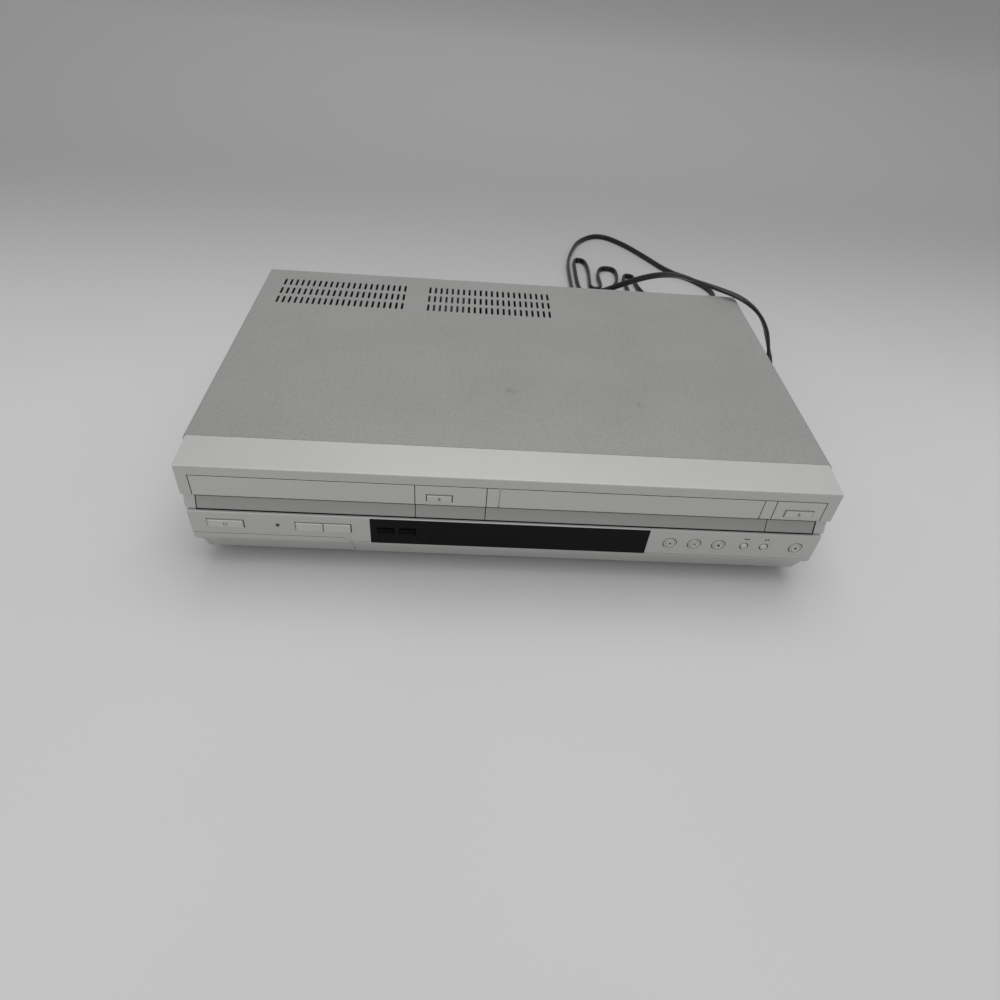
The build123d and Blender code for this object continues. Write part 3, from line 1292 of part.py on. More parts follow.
with BuildPart() as power_board:
    block(power_x0, power_x1, power_y0, power_y1, board_z, board_top_z)
    block(power_x0 + 5, power_x0 + 33, power_y0 + 34, power_y0 + 60, board_top_z, board_top_z + 27)
    block(power_x0 + 9, power_x0 + 29, power_y0 + 31, power_y0 + 63, board_top_z + 4,
          board_top_z + 21)
    rod("z", (power_x1 - 13, power_y0 + 42), 10.0, board_top_z, board_top_z + 34)
    rod("z", (power_x1 - 13, power_y0 + 17), 6.0, board_top_z, board_top_z + 22)
    rod("z", (power_x0 + 38, power_y0 + 12), 5.0, board_top_z, board_top_z + 18)
    for i in range(6):
        x = power_x0 + 6 + i * 4
        block(x, x + 1.4, power_y0 + 6, power_y0 + 26, board_top_z, board_top_z + 30)
    block(power_x0 + 6, power_x0 + 27.4, power_y0 + 15, power_y0 + 17, board_top_z, board_top_z + 30)
    block(power_x0 + 8, power_x0 + 30, power_y1 - 16, power_y1 - 9, board_top_z, board_top_z + 8)
    rod("x", (power_y1 - 24, board_top_z + 4), 2.8, power_x0 + 36, power_x0 + 58)
    block(power_x0 + 37, power_x0 + 40, power_y1 - 27, power_y1 - 21, board_top_z, board_top_z + 4)
    block(power_x0 + 54, power_x0 + 57, power_y1 - 27, power_y1 - 21, board_top_z, board_top_z + 4)
power_board.part.label = "power_board"
export_step(power_board.part, "parts/power_board.step")

# ================================================================ mains cord
relief_tip_y = cover_rear_y + 21.25
with BuildPart() as cord_strain_relief:
    rod("y", (cord_x, cord_z), relief_radius, rear_inner_y - 3, rear_y + 3)
    rod("y", (cord_x, cord_z), relief_radius + 2.5, rear_y, rear_y + 3)
    rod("y", (cord_x, cord_z), relief_radius + 1.2, rear_inner_y - 3, rear_inner_y)
    boot_length = relief_tip_y - rear_y - 3
    with Locations((cord_x, rear_y + 3 + boot_length / 2, cord_z)):
        Cone(relief_radius, cord_diameter / 2 + 0.9, boot_length, rotation=(-90, 0, 0))
cord_strain_relief.part.label = "cord_strain_relief"
export_step(cord_strain_relief.part, "parts/cord_strain_relief.step")

# The route starts at the relief, lies on the floor behind the case as one wide loop and four
# tight folds, climbs over the rear right corner of the cover and ends in the plug at the side.
F = floor_rest
cord_points = [
    (cord_x, relief_tip_y, cord_z), (cord_x, 181, cord_z), (194, 206, 22), (207, 236, F), (232, 264, F),
    (257, 294, F), (265, 330, F), (246, 362, F), (218, 381, F), (196, 422, F), (170, 465, F),
    (140, 491, F), (110, 464, F), (97, 426, F), (89, 390, F), (88, 346, F), (88, 304, F),
    (92, 266, F), (109, 234, F), (140, 216, F), (171, 224, F), (187, 252, F), (184, 288, F),
    (173, 315, F), (168.5, 338, F), (169, 361, F), (155.5, 361, F), (156, 335, F), (156.8, 308, F),
    (158, 282, F), (158, 265.5, F), (146.5, 254, F), (129.5, 254, F), (118, 265.5, F),
    (118, 282, F), (129, 306, F), (142, 330, F), (148.5, 351, F), (148, 380, F), (128, 379, F),
    (123.5, 353, F), (124.5, 338, F), (124, 318, F), (110.5, 318, F), (112, 341, F),
    (114, 373, F), (111, 400, F), (97.5, 400, F), (97, 373, F), (96, 340, F), (97, 304, 4.5),
    (110, 284, 13), (140, 280, 29), (157, 262, 46), (169, 236, 62), (176, 204, 76),
    (182, 172, 86.5), (194, 146, 92), (215, 127, 92.5), (233, 122, 83), (247, 124, 67),
    (257, 128, 48), (264, 125, 29), (263, 106, 12), (259, 82, 4.4), (253, 57, 8), (253, 32, 8),
]


def corner_radii(points):
    """Return the arc of each corner: 0.45 of the shorter run over the tangent of half the turn."""
    radii = []
    for before, here, after in zip(points, points[1:], points[2:]):
        arrive = Vector(*here) - Vector(*before)
        leave = Vector(*after) - Vector(*here)
        shorter = min(arrive.length, leave.length)
        radii.append(0.45 * shorter / math.tan(math.radians(arrive.get_angle(leave)) / 2))
    return radii


cord_radii = corner_radii(cord_points)
print("cord corner radii:", [round(r, 1) for r in cord_radii])
with BuildPart() as power_cord:
    with BuildLine() as cord_route:
        FilletPolyline(*cord_points, radius=cord_radii)
    cord_start = Vector(*cord_points[0])
    with BuildSketch(Plane(origin=cord_start, z_dir=Vector(*cord_points[1]) - cord_start)):
        Circle(cord_diameter / 2)
    sweep(path=cord_route.line)
cord_length = sum(edge.length for edge in cord_route.edges())
cord_section = math.pi * cord_diameter**2 / 4
print("cord length", round(cord_length, 1), "volume", round(power_cord.part.volume, 1),
      "section times length", round(cord_section * cord_length, 1))
power_cord.part.label = "power_cord"
export_step(power_cord.part, "parts/power_cord.step")

plug_x, plug_y, plug_z = cord_points[-1]
plug_length = 30.0
plug_width = 24.0
blade_spacing = 12.7
with BuildPart() as power_plug:
    neck = 10.0
    with BuildSketch(Plane.XZ.offset(-plug_y)):
        with Locations((plug_x, plug_z)):
            RectangleRounded(11, 9, 3)
    with BuildSketch(Plane.XZ.offset(neck - plug_y)):
        with Locations((plug_x, plug_z)):
            RectangleRounded(plug_width - 5, 14, 4)
    loft()
    with BuildSketch(Plane.XZ.offset(neck - plug_y)):
        with Locations((plug_x, plug_z)):
            RectangleRounded(plug_width, 2 * plug_z, 5)
    extrude(amount=plug_length - neck)
    for side in (-1, 1):
        x = plug_x + side * blade_spacing / 2
        block(
            x - 0.75, x + 0.75, plug_y - plug_length - 16.5, plug_y - plug_length,
            plug_z - 3.2, plug_z + 3.2,
        )
power_plug.part.label = "power_plug"
export_step(power_plug.part, "parts/power_plug.step")
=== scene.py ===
# %% [markdown]
# # A disc player and cassette recorder in one silver case
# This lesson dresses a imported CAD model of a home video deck. On the left a tray takes a disc, on the
# right a spring flap takes a video cassette, and both share one window, one row of keys and one lead.
# The CAD solids already have the real sizes and the real joints. Here they get their finishes, and the
# pieces that the eye reads closest, such as the round keys, the lead and the plug, are modelled anew.
# Everything is in metres in the CAD's own frame: +X is right, -Y the front and +Z up.

# %% Load the frame
import math
import bpy
from mathutils import Matrix, Vector


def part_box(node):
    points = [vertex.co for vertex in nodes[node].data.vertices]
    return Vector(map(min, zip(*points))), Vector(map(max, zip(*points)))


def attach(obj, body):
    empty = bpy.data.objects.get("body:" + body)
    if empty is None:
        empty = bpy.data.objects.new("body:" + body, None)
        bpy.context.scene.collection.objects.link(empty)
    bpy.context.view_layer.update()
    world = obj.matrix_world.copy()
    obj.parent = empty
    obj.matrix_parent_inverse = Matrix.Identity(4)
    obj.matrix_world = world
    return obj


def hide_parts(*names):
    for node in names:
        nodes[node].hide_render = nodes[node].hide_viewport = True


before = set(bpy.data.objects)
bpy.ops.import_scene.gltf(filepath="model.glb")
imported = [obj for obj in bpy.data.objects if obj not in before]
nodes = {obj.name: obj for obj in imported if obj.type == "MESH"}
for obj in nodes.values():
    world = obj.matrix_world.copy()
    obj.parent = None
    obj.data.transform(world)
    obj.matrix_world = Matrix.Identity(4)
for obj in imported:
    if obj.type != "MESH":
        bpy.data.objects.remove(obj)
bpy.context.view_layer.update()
MM = 0.001

# %% [markdown]
# ## The camera
# The picture was taken standing over the deck, looking down about 42 degrees with a wide lens.
# The camera could be aimed by eye, but the cover's four corners fix it closely, so its place and its
# three angles are written down here. A focal length of 705 pixels on a 1000 pixel frame is 25.4 mm on
# a 36 mm sensor.

# %% Camera
camera_place = Vector((-36.3, -481.1, 371.4)) * MM
tilt_down = 0.7284
turn_left = -0.0785
lean = 0.0956
ahead = Vector((
    -math.sin(turn_left) * math.cos(tilt_down),
    math.cos(turn_left) * math.cos(tilt_down),
    -math.sin(tilt_down),
))
level = Vector((math.cos(turn_left), math.sin(turn_left), 0))
upright = level.cross(ahead)
across = level * math.cos(lean) + upright * math.sin(lean)
over = upright * math.cos(lean) - level * math.sin(lean)

camera_data = bpy.data.cameras.new("camera")
camera_data.sensor_width = 36
camera_data.lens = 705 / 1000 * 36
camera_data.clip_start = 0.01
camera = bpy.data.objects.new("camera", camera_data)
camera.matrix_world = Matrix((
    (across.x, over.x, -ahead.x, camera_place.x),
    (across.y, over.y, -ahead.y, camera_place.y),
    (across.z, over.z, -ahead.z, camera_place.z),
    (0, 0, 0, 1),
))
bpy.context.scene.collection.objects.link(camera)
bpy.context.scene.camera = camera
bpy.context.scene.view_settings.view_transform = "Standard"
print("camera lens", round(camera_data.lens, 2), "mm")

# %% [markdown]
# ## Colours and shader nodes
# Finishes are picked as sRGB hex values, as any colour picker shows them, but shaders work in linear
# light, so one function converts them. Another adds a shader node, sets it, and
# links it, so that each material below reads as a list of what it is made of. A third one starts a
# material with an empty tree.

# %% Helpers for every material
def paint(hex_colour):
    """Turn an sRGB hex colour into linear RGBA."""
    channels = [int(hex_colour[i:i + 2], 16) / 255 for i in (1, 3, 5)]
    return [c / 12.92 if c <= 0.04045 else ((c + 0.055) / 1.055) ** 2.4 for c in channels] + [1]


def new_material(name):
    """Start a node material with an empty tree."""
    material = bpy.data.materials.new(name)
    material.use_nodes = True
    material.node_tree.nodes.clear()
    return material


def add(material, kind, sockets=None, **settings):
    """Add a shader node, set its properties, then fill or link its sockets."""
    node = material.node_tree.nodes.new(kind)
    for name, value in settings.items():
        setattr(node, name, value)
    for name, value in (sockets or {}).items():
        if isinstance(value, bpy.types.NodeSocket):
            material.node_tree.links.new(value, node.inputs[name])
        else:
            node.inputs[name].default_value = value
    return node


print("mid grey in linear light", round(paint("#808080")[0], 3))

# %% [markdown]
# ## Floor and light
# The deck stands on a pale seamless sheet under soft light from above and a little behind, which is
# why the sloping top strip of the front is its brightest part and the faces below are greyer. A wide
# flat sheet, one large soft lamp over it and a weaker one in front give that, with a grey world
# filling the shadows.

# %% Floor
bpy.ops.object.select_all(action="DESELECT")
bpy.ops.mesh.primitive_plane_add(size=16, location=(0, 5, 0))
floor = bpy.context.object
floor.name = "studio_floor"
bpy.ops.object.mode_set(mode="EDIT")
bpy.ops.mesh.subdivide(number_cuts=3)
bpy.ops.object.mode_set(mode="OBJECT")
bpy.ops.object.transform_apply(location=True, rotation=True, scale=True)

sheet_vinyl = new_material("matt_vinyl_sheet")
where = add(sheet_vinyl, "ShaderNodeTexCoord")
blotch = add(sheet_vinyl, "ShaderNodeTexNoise", {
    "Vector": where.outputs["Object"], "Scale": 3.0, "Detail": 3.0,
})
tone = add(
    sheet_vinyl, "ShaderNodeMix",
    {0: blotch.outputs["Fac"], 6: paint("#c0c1bf"), 7: paint("#c9c9c8")}, data_type="RGBA",
)
# painted shade and light: behind the deck the sheet is painted greyer where the lamp's light falls off, and
# farther off it is painted lighter again
distance = add(sheet_vinyl, "ShaderNodeSeparateXYZ", {"Vector": where.outputs["Object"]})
painted_falloff = add(sheet_vinyl, "ShaderNodeMapRange", {
    "Value": distance.outputs["Y"], "From Min": -0.05, "From Max": 0.65,
}, interpolation_type="SMOOTHSTEP")
far_off = add(sheet_vinyl, "ShaderNodeMapRange", {
    "Value": distance.outputs["Y"], "From Min": 0.7, "From Max": 1.9,
})
painted_far_tone = add(sheet_vinyl, "ShaderNodeMix", {
    0: far_off.outputs["Result"], 6: paint("#9a9a99"), 7: paint("#b6b6b5"),
}, data_type="RGBA")
sheet_tone = add(sheet_vinyl, "ShaderNodeMix", {
    0: painted_falloff.outputs["Result"], 6: tone.outputs[2], 7: painted_far_tone.outputs[2],
}, data_type="RGBA")
vinyl_face = add(sheet_vinyl, "ShaderNodeBsdfPrincipled", {
    "Base Color": sheet_tone.outputs[2], "Roughness": 0.75,
})
add(sheet_vinyl, "ShaderNodeOutputMaterial", {"Surface": vinyl_face.outputs[0]})
floor.data.materials.append(sheet_vinyl)

# %% Light
world = bpy.data.worlds.new("studio_air")
bpy.context.scene.world = world
world.use_nodes = True
world.node_tree.nodes["Background"].inputs["Color"].default_value = paint("#c9cacb")
world.node_tree.nodes["Background"].inputs["Strength"].default_value = 0.72

for name, place, size, watts in (
    ("ceiling_softbox", (0.15, 0.32, 1.9), 1.8, 21.5),
    ("front_fill", (-0.7, -1.9, 1.3), 1.8, 13),
):
    lamp_data = bpy.data.lights.new(name, "AREA")
    lamp_data.size = size
    lamp_data.energy = watts
    lamp = bpy.data.objects.new(name, lamp_data)
    bpy.context.scene.collection.objects.link(lamp)
    lamp.location = place
    lamp.rotation_euler = (Vector((0, 0, 0)) - Vector(place)).to_track_quat("-Z", "Y").to_euler()
print("world and two soft lamps")

# %% [markdown]
# ## Editing helpers
# A primitive is only a start: it is put at its size and place, opened in edit mode, and worked with
# extrude, inset and bevel. Faces are picked in code by where they are or where they point, so one
# function opens a piece with the chosen faces selected, and another closes it and finishes its edges.

# %% Open, close and start pieces
def choose(piece, test):
    """Open a piece in edit mode with the faces selected that pass the test."""
    bpy.ops.object.select_all(action="DESELECT")
    piece.select_set(True)
    bpy.context.view_layer.objects.active = piece
    bpy.context.tool_settings.mesh_select_mode = (False, False, True)
    bpy.ops.object.mode_set(mode="EDIT")
    bpy.ops.mesh.select_all(action="DESELECT")
    bpy.ops.object.mode_set(mode="OBJECT")
    for face in piece.data.polygons:
        face.select = test(face)
    bpy.ops.object.mode_set(mode="EDIT")


def close(piece, round_mm=0.0, segments=2):
    """Leave edit mode, round the sharp edges, and shade the rest smooth."""
    bpy.ops.object.mode_set(mode="OBJECT")
    if round_mm:
        edge = piece.modifiers.new("edge", "BEVEL")
        edge.width = round_mm * MM
        edge.segments = segments
        edge.limit_method = "ANGLE"
        edge.angle_limit = math.radians(40)
        bpy.ops.object.modifier_apply(modifier="edge")
    bpy.ops.object.shade_smooth_by_angle(angle=math.radians(35))


def slab(name, low, high):
    """Start a piece as a box between two corners given in millimetres."""
    bpy.ops.object.select_all(action="DESELECT")
    middle = (Vector(low) + Vector(high)) / 2 * MM
    bpy.ops.mesh.primitive_cube_add(size=1, location=middle, scale=(Vector(high) - Vector(low)) * MM)
    bpy.context.object.name = name
    bpy.ops.object.transform_apply(location=True, rotation=True, scale=True)
    return bpy.context.object


def turned(name, outline, centre, axis, sides=48):
    """Turn an outline of (radius, along) millimetres round an axis, as on a lathe."""
    bpy.ops.object.select_all(action="DESELECT")
    bpy.ops.mesh.primitive_plane_add(size=MM)
    piece = bpy.context.object
    piece.name = name
    bpy.context.tool_settings.mesh_select_mode = (True, False, False)
    bpy.ops.object.mode_set(mode="EDIT")
    bpy.ops.mesh.merge(type="CENTER")
    last = Vector((0, 0))
    for point in outline:
        step = (Vector(point) - last) * MM
        if point == outline[0]:
            bpy.ops.transform.translate(value=(step.x, 0, step.y))
        else:
            bpy.ops.mesh.extrude_region_move(TRANSFORM_OT_translate={"value": (step.x, 0, step.y)})
        last = Vector(point)
    bpy.ops.mesh.select_all(action="SELECT")
    bpy.ops.mesh.spin(steps=sides, angle=math.tau, center=(0, 0, 0), axis=(0, 0, 1))
    bpy.ops.mesh.select_all(action="SELECT")
    bpy.ops.mesh.remove_doubles(threshold=0.01 * MM)
    bpy.ops.mesh.normals_make_consistent(inside=False)
    bpy.ops.object.mode_set(mode="OBJECT")
    turn = {"x": (0, math.pi / 2, 0), "y": (-math.pi / 2, 0, 0), "z": (0, 0, 0)}[axis]
    piece.rotation_euler = turn
    piece.location = Vector(centre) * MM
    bpy.ops.object.transform_apply(location=True, rotation=True, scale=True)
    bpy.ops.object.shade_smooth_by_angle(angle=math.radians(35))
    return piece


pieces_made = []


def settle(piece, finish, body, record_slot, *stands_for):
    """Give a finished piece its material and its body, and hide the nodes it stands for; record_slot is not
    used.
    """
    if not piece.data.materials:
        piece.data.materials.append(finish)
    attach(piece, body)
    if stands_for:
        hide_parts(*stands_for)
    pieces_made.append(piece.name)

# %% [markdown]
# ## The mains lead
# The lead is a flat twin flex, 6.4 mm wide and half as thick, 1.85 m long. It leaves the rear through
# a strain relief, lies behind the deck in loose loops standing on edge, since a flat flex bends only
# across its thin side, climbs over the cover's rear right corner and drops beside the case to its
# plug. A smooth NURBS route with the CAD's own points carries it, and a section curve shaped like two
# joined cores is swept along it, turning flat where the flex lies over the corner.

# %% Route of the lead
ON_FLOOR = 3.3
lead_points = [
    (190.9, 158, 40), (190.9, 181, 40), (194, 206, 22), (207, 236, ON_FLOOR), (232, 264, ON_FLOOR),
    (257, 294, ON_FLOOR), (265, 330, ON_FLOOR), (246, 362, ON_FLOOR), (218, 381, ON_FLOOR),
    (196, 422, ON_FLOOR), (170, 465, ON_FLOOR), (140, 491, ON_FLOOR), (110, 464, ON_FLOOR),
    (97, 426, ON_FLOOR), (89, 390, ON_FLOOR), (88, 346, ON_FLOOR), (88, 304, ON_FLOOR),
    (92, 266, ON_FLOOR), (109, 234, ON_FLOOR), (140, 216, ON_FLOOR), (171, 224, ON_FLOOR),
    (187, 252, ON_FLOOR), (184, 288, ON_FLOOR), (173, 315, ON_FLOOR), (168.5, 338, ON_FLOOR),
    (169, 361, ON_FLOOR), (155.5, 361, ON_FLOOR), (156, 335, ON_FLOOR), (156.8, 308, ON_FLOOR),
    (158, 282, ON_FLOOR), (158, 265.5, ON_FLOOR), (146.5, 254, ON_FLOOR), (129.5, 254, ON_FLOOR),
    (118, 265.5, ON_FLOOR), (118, 282, ON_FLOOR), (129, 306, ON_FLOOR), (142, 330, ON_FLOOR),
    (148.5, 351, ON_FLOOR), (148, 380, ON_FLOOR), (128, 379, ON_FLOOR), (123.5, 353, ON_FLOOR),
    (124.5, 338, ON_FLOOR), (124, 318, ON_FLOOR), (110.5, 318, ON_FLOOR), (112, 341, ON_FLOOR),
    (114, 373, ON_FLOOR), (111, 400, ON_FLOOR), (97.5, 400, ON_FLOOR), (97, 373, ON_FLOOR),
    (96, 340, ON_FLOOR), (97, 304, 4.5), (110, 284, 13), (140, 280, 29), (157, 262, 46),
    (169, 236, 62), (176, 204, 76), (182, 172, 86.5), (194, 146, 92), (215, 127, 92.5),
    (233, 122, 83), (247, 124, 67), (257, 128, 48), (264, 125, 29), (263, 106, 12), (259, 82, 4.4),
    (253, 57, 8), (253, 32, 8),
]
lead_width = 6.4
lead_thickness = 3.2
flat_from = 53  # the point of the climb from which the flex turns flat for the corner


def lying(index):
    """How far the flex has turned from standing on edge, 0, to lying flat, 1, at a route point."""
    leaving = 1 - min(index / 3, 1)
    climbing = min(max((index - flat_from) / 4, 0), 1)
    return max(leaving, climbing)


lead_curve = bpy.data.curves.new("power_lead", "CURVE")
lead_curve.dimensions = "3D"
lead_curve.resolution_u = 10
lead_curve.twist_mode = "Z_UP"
spline = lead_curve.splines.new("NURBS")
spline.points.add(len(lead_points) - 1)
for index, place in enumerate(lead_points):
    spline.points[index].co = (*(Vector(place) * MM), 1)
    spline.points[index].tilt = lying(index) * math.pi / 2
spline.order_u = 3
spline.use_endpoint_u = True
lead = bpy.data.objects.new("power_lead", lead_curve)
bpy.context.scene.collection.objects.link(lead)
line = bpy.data.meshes.new_from_object(lead)
lead_line = [tuple(v.co) for v in line.vertices]
lead_length = sum((Vector(a) - Vector(b)).length for a, b in zip(lead_line, lead_line[1:]))
print("lead line", len(lead_line), "points", round(lead_length, 3), "m")

# %% Section of the flex: two round cores side by side with a shallow groove between
section_curve = bpy.data.curves.new("flex_section", "CURVE")
section_curve.dimensions = "2D"
rim = section_curve.splines.new("POLY")
rim_points = 24
rim.points.add(rim_points - 1)
rim.use_cyclic_u = True
core = lead_thickness / 2
core_offset = lead_width / 2 - core
for index in range(rim_points):
    angle = math.tau * (index + 0.5) / rim_points
    x = math.copysign(core_offset, math.cos(angle)) + core * math.cos(angle)
    groove = 0.22 * math.exp(-((x / 0.7) ** 2))
    rim.points[index].co = (core * math.sin(angle) * (1 - groove) * MM, x * MM, 0, 1)
section = bpy.data.objects.new("flex_section", section_curve)
bpy.context.scene.collection.objects.link(section)
lead_curve.bevel_mode = "OBJECT"
lead_curve.bevel_object = section
lead_curve.use_fill_caps = True
bpy.ops.object.select_all(action="DESELECT")
lead.select_set(True)
bpy.context.view_layer.objects.active = lead
bpy.ops.object.convert(target="MESH")
bpy.data.objects.remove(section)
bpy.ops.object.shade_smooth_by_angle(angle=math.radians(50))
print("lead", len(lead.data.polygons), "faces")

# %% [markdown]
# ### Jacket of the lead
# The jacket is black PVC, squeezed out hot through a die, so it is smooth: a dark base
# with a soft gloss, a finely grained surface, and a cloudy tone that lightens it here and there.

# %% Black PVC jacket
def body_material(
    name, base, shade, rough, grain_mm, relief_mm, patch_mm, metallic=0.0, coat=0.0, specular=0.5,
):
    """A material with clouded colour, grain in its gloss, and a fine relief, all sized in mm."""
    material = new_material(name)
    place = add(material, "ShaderNodeTexCoord").outputs["Object"]
    cloud = add(material, "ShaderNodeTexNoise", {"Vector": place, "Scale": 1000 / patch_mm, "Detail": 4.0})
    colour = add(
        material, "ShaderNodeMix",
        {0: cloud.outputs["Fac"], 6: paint(base), 7: paint(shade)}, data_type="RGBA",
    )
    grain = add(material, "ShaderNodeTexNoise", {"Vector": place, "Scale": 1000 / grain_mm, "Detail": 2.0})
    gloss = add(material, "ShaderNodeMapRange", {
        "Value": grain.outputs["Fac"], "From Min": 0.3, "From Max": 0.7,
        "To Min": rough[0], "To Max": rough[1],
    })
    relief = add(
        material, "ShaderNodeBump",
        {"Height": grain.outputs["Fac"], "Distance": relief_mm * MM, "Strength": 0.6},
    )
    shader = add(material, "ShaderNodeBsdfPrincipled", {
        "Base Color": colour.outputs[2], "Roughness": gloss.outputs["Result"],
        "Normal": relief.outputs["Normal"], "Metallic": metallic, "Coat Weight": coat,
        "Specular IOR Level": specular,
    })
    add(material, "ShaderNodeOutputMaterial", {"Surface": shader.outputs[0]})
    return material


pvc_jacket = body_material(
    "extruded_black_pvc", "#0a0a0b", "#131314", (0.32, 0.44), 1.5, 0.03, 18,
)

# %% [markdown]
# ### Strain relief
# Where the lead leaves the rear panel a moulded sleeve keeps it from kinking. On the real part it is
# a taper cut by slots so that it bends. It is turned in one go, as a
# taper whose outline steps in and out for five ribs.

# %% Strain relief
relief_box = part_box("cord_strain_relief")
relief_mid = (relief_box[0] + relief_box[1]) / 2 / MM
relief_root = 135.65
relief_tip = relief_box[1].y / MM
taper = [(0.5, relief_box[0].y / MM), (5.9, relief_box[0].y / MM), (5.9, relief_root - 1.2),
         (8.3, relief_root - 1.0), (8.3, relief_root), (8.3, relief_root + 2.4), (7.6, relief_root + 3.0)]
ribs = 5
for rib in range(ribs):
    start = relief_root + 3.0 + rib * 3.7
    out = 6.9 - rib * 0.6
    taper += [(out, start), (out - 0.25, start + 2.2), (out - 1.5, start + 2.3), (out - 1.6, start + 3.5)]
taper += [(3.9, relief_tip - 0.6), (3.5, relief_tip), (0.5, relief_tip)]
strain_relief = turned(
    "strain_relief", taper, (relief_mid.x, 0, relief_mid.z), "y", 40,
)
print("strain relief", round((strain_relief.dimensions.y) / MM, 1), "mm long")

# %% [markdown]
# ### Plug
# A flat plug is moulded straight onto the flex. Its body narrows towards the flex so that fingers
# can pull it, ribs on its broad sides give them grip, and two plated blades come out of its face.

# %% Plug
plug_low, plug_high = (241, 2, 0), (265, 32, 16)
plug = slab("power_plug_body", plug_low, plug_high)
choose(plug, lambda face: face.normal.y > 0.9)
bpy.ops.transform.resize(value=(0.8, 1, 0.86))
bpy.ops.mesh.extrude_region_move(TRANSFORM_OT_translate={"value": (0, 0, 0)})
bpy.ops.transform.resize(value=(0.45, 1, 0.62))
bpy.ops.mesh.select_all(action="DESELECT")
close(plug, 1.6, 3)
print("plug", [round(v / MM, 1) for v in plug.dimensions])

# %% [markdown]
# ### Ribs and blades of the plug
# The ribs are narrow strips that taper outwards from the broad sides. The blades are stamped brass,
# plated bright: each is a thin box with its end face inset, and a round punch takes the hole near
# the tip.

# %% Plug ribs and blades
for side in (-1, 1):
    for rib in range(4):
        at = 9 + rib * 3.2
        strip = slab(f"grip_rib_{side}_{rib}", (246.5, at, 8 + side * 6.2), (259.5, at + 1.5, 8 + side * 7.6))
        choose(strip, lambda face, s=side: face.normal.z * s > 0.9)
        bpy.ops.transform.resize(value=(0.92, 0.5, 1))
        close(strip, 0.2)
        bpy.ops.object.select_all(action="DESELECT")
        strip.select_set(True)
        plug.select_set(True)
        bpy.context.view_layer.objects.active = plug
        bpy.ops.object.join()

blade_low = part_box("power_plug")[0].y / MM
blades = []
for side in (-1, 1):
    middle = 253 + side * 6.35
    blade = slab(f"blade_{side}", (middle - 0.75, blade_low, 8 - 3.15), (middle + 0.75, 4, 8 + 3.15))
    choose(blade, lambda face: face.normal.y < -0.9)
    bpy.ops.mesh.extrude_region_move(TRANSFORM_OT_translate={"value": (0, 0, 0)})
    bpy.ops.transform.resize(value=(0.5, 1, 0.8))
    close(blade)
    punch = turned("punch", [(0, -2), (1.6, -2), (1.6, 2), (0, 2)], (middle, blade_low + 5, 8), "x", 24)
    hole = blade.modifiers.new("hole", "BOOLEAN")
    hole.operation = "DIFFERENCE"
    hole.object = punch
    hole.solver = "EXACT"
    bpy.ops.object.select_all(action="DESELECT")
    bpy.context.view_layer.objects.active = blade
    bpy.ops.object.modifier_apply(modifier="hole")
    bpy.data.objects.remove(punch)
    blades.append(blade)
print("blades", len(blades), "tips at", round(blade_low, 1))

# %% [markdown]
# ### Nickel on the plug and sockets
# Bright nickel plate is a warm grey metal that mirrors its surroundings with a slight haze, with fine
# rubbing marks where plugs have gone in and out.

# %% Nickel plate, and the lead put in place
nickel = body_material(
    "bright_nickel_plate", "#c9c4ba", "#b5b0a6", (0.16, 0.3), 1.2, 0.006, 9, metallic=1.0,
)
plug_jacket = body_material(
    "moulded_black_pvc", "#101011", "#1c1c1d", (0.38, 0.52), 0.9, 0.05, 14,
)
settle(lead, pvc_jacket, "case", "cord_jacket", "power_cord")
settle(strain_relief, plug_jacket, "case", "rubber_black", "cord_strain_relief")
settle(plug, plug_jacket, "case", "cord_jacket", "power_plug")
for blade in blades:
    settle(blade, nickel, "case", "ground_steel")

# %% [markdown]
# ## Finishes of the case
# The cover is sheet steel sprayed with a satin silver-grey enamel: tiny aluminium flakes in it give a
# soft metallic sheen without a mirror. The flakes are a few hundredths of a millimetre, far too fine
# to show, so they are drawn 0.9 mm coarse and faint. Years on a shelf have left hair scratches from
# front to back, two dull scuffs on the front half, and paint rubbed bright along the folded edges.

# %% Satin enamel on the cover
satin_enamel = new_material("satin_silver_enamel_on_steel")
spot = add(satin_enamel, "ShaderNodeTexCoord").outputs["Object"]
axes = add(satin_enamel, "ShaderNodeSeparateXYZ", {"Vector": spot})
cloud = add(satin_enamel, "ShaderNodeTexNoise", {"Vector": spot, "Scale": 1000 / 70, "Detail": 4.0})
flake = add(satin_enamel, "ShaderNodeTexNoise", {"Vector": spot, "Scale": 1000 / 0.9, "Detail": 1.0})
enamel_tone = add(satin_enamel, "ShaderNodeMix", {
    0: cloud.outputs["Fac"], 6: paint("#868684"), 7: paint("#8f8f8d"),
}, data_type="RGBA")
flake_part = add(satin_enamel, "ShaderNodeMapRange", {
    "Value": flake.outputs["Fac"], "From Min": 0.35, "From Max": 0.75, "To Min": 0.0, "To Max": 0.22,
})
flaked = add(satin_enamel, "ShaderNodeMix", {
    0: flake_part.outputs["Result"], 6: enamel_tone.outputs[2], 7: paint("#c2c2c0"),
}, data_type="RGBA")

# hair scratches: noise stretched 40 times longer front to back than across
stretch = add(satin_enamel, "ShaderNodeMapping", {
    "Vector": spot, "Scale": (900, 22, 22), "Rotation": (0, 0, 0.12),
})
hair = add(satin_enamel, "ShaderNodeTexNoise", {"Vector": stretch.outputs[0], "Scale": 1.0, "Detail": 1.0})
hair_part = add(satin_enamel, "ShaderNodeMapRange", {
    "Value": hair.outputs["Fac"], "From Min": 0.70, "From Max": 0.78, "To Min": 0.0, "To Max": 0.35,
})
worn = hair_part.outputs["Result"]

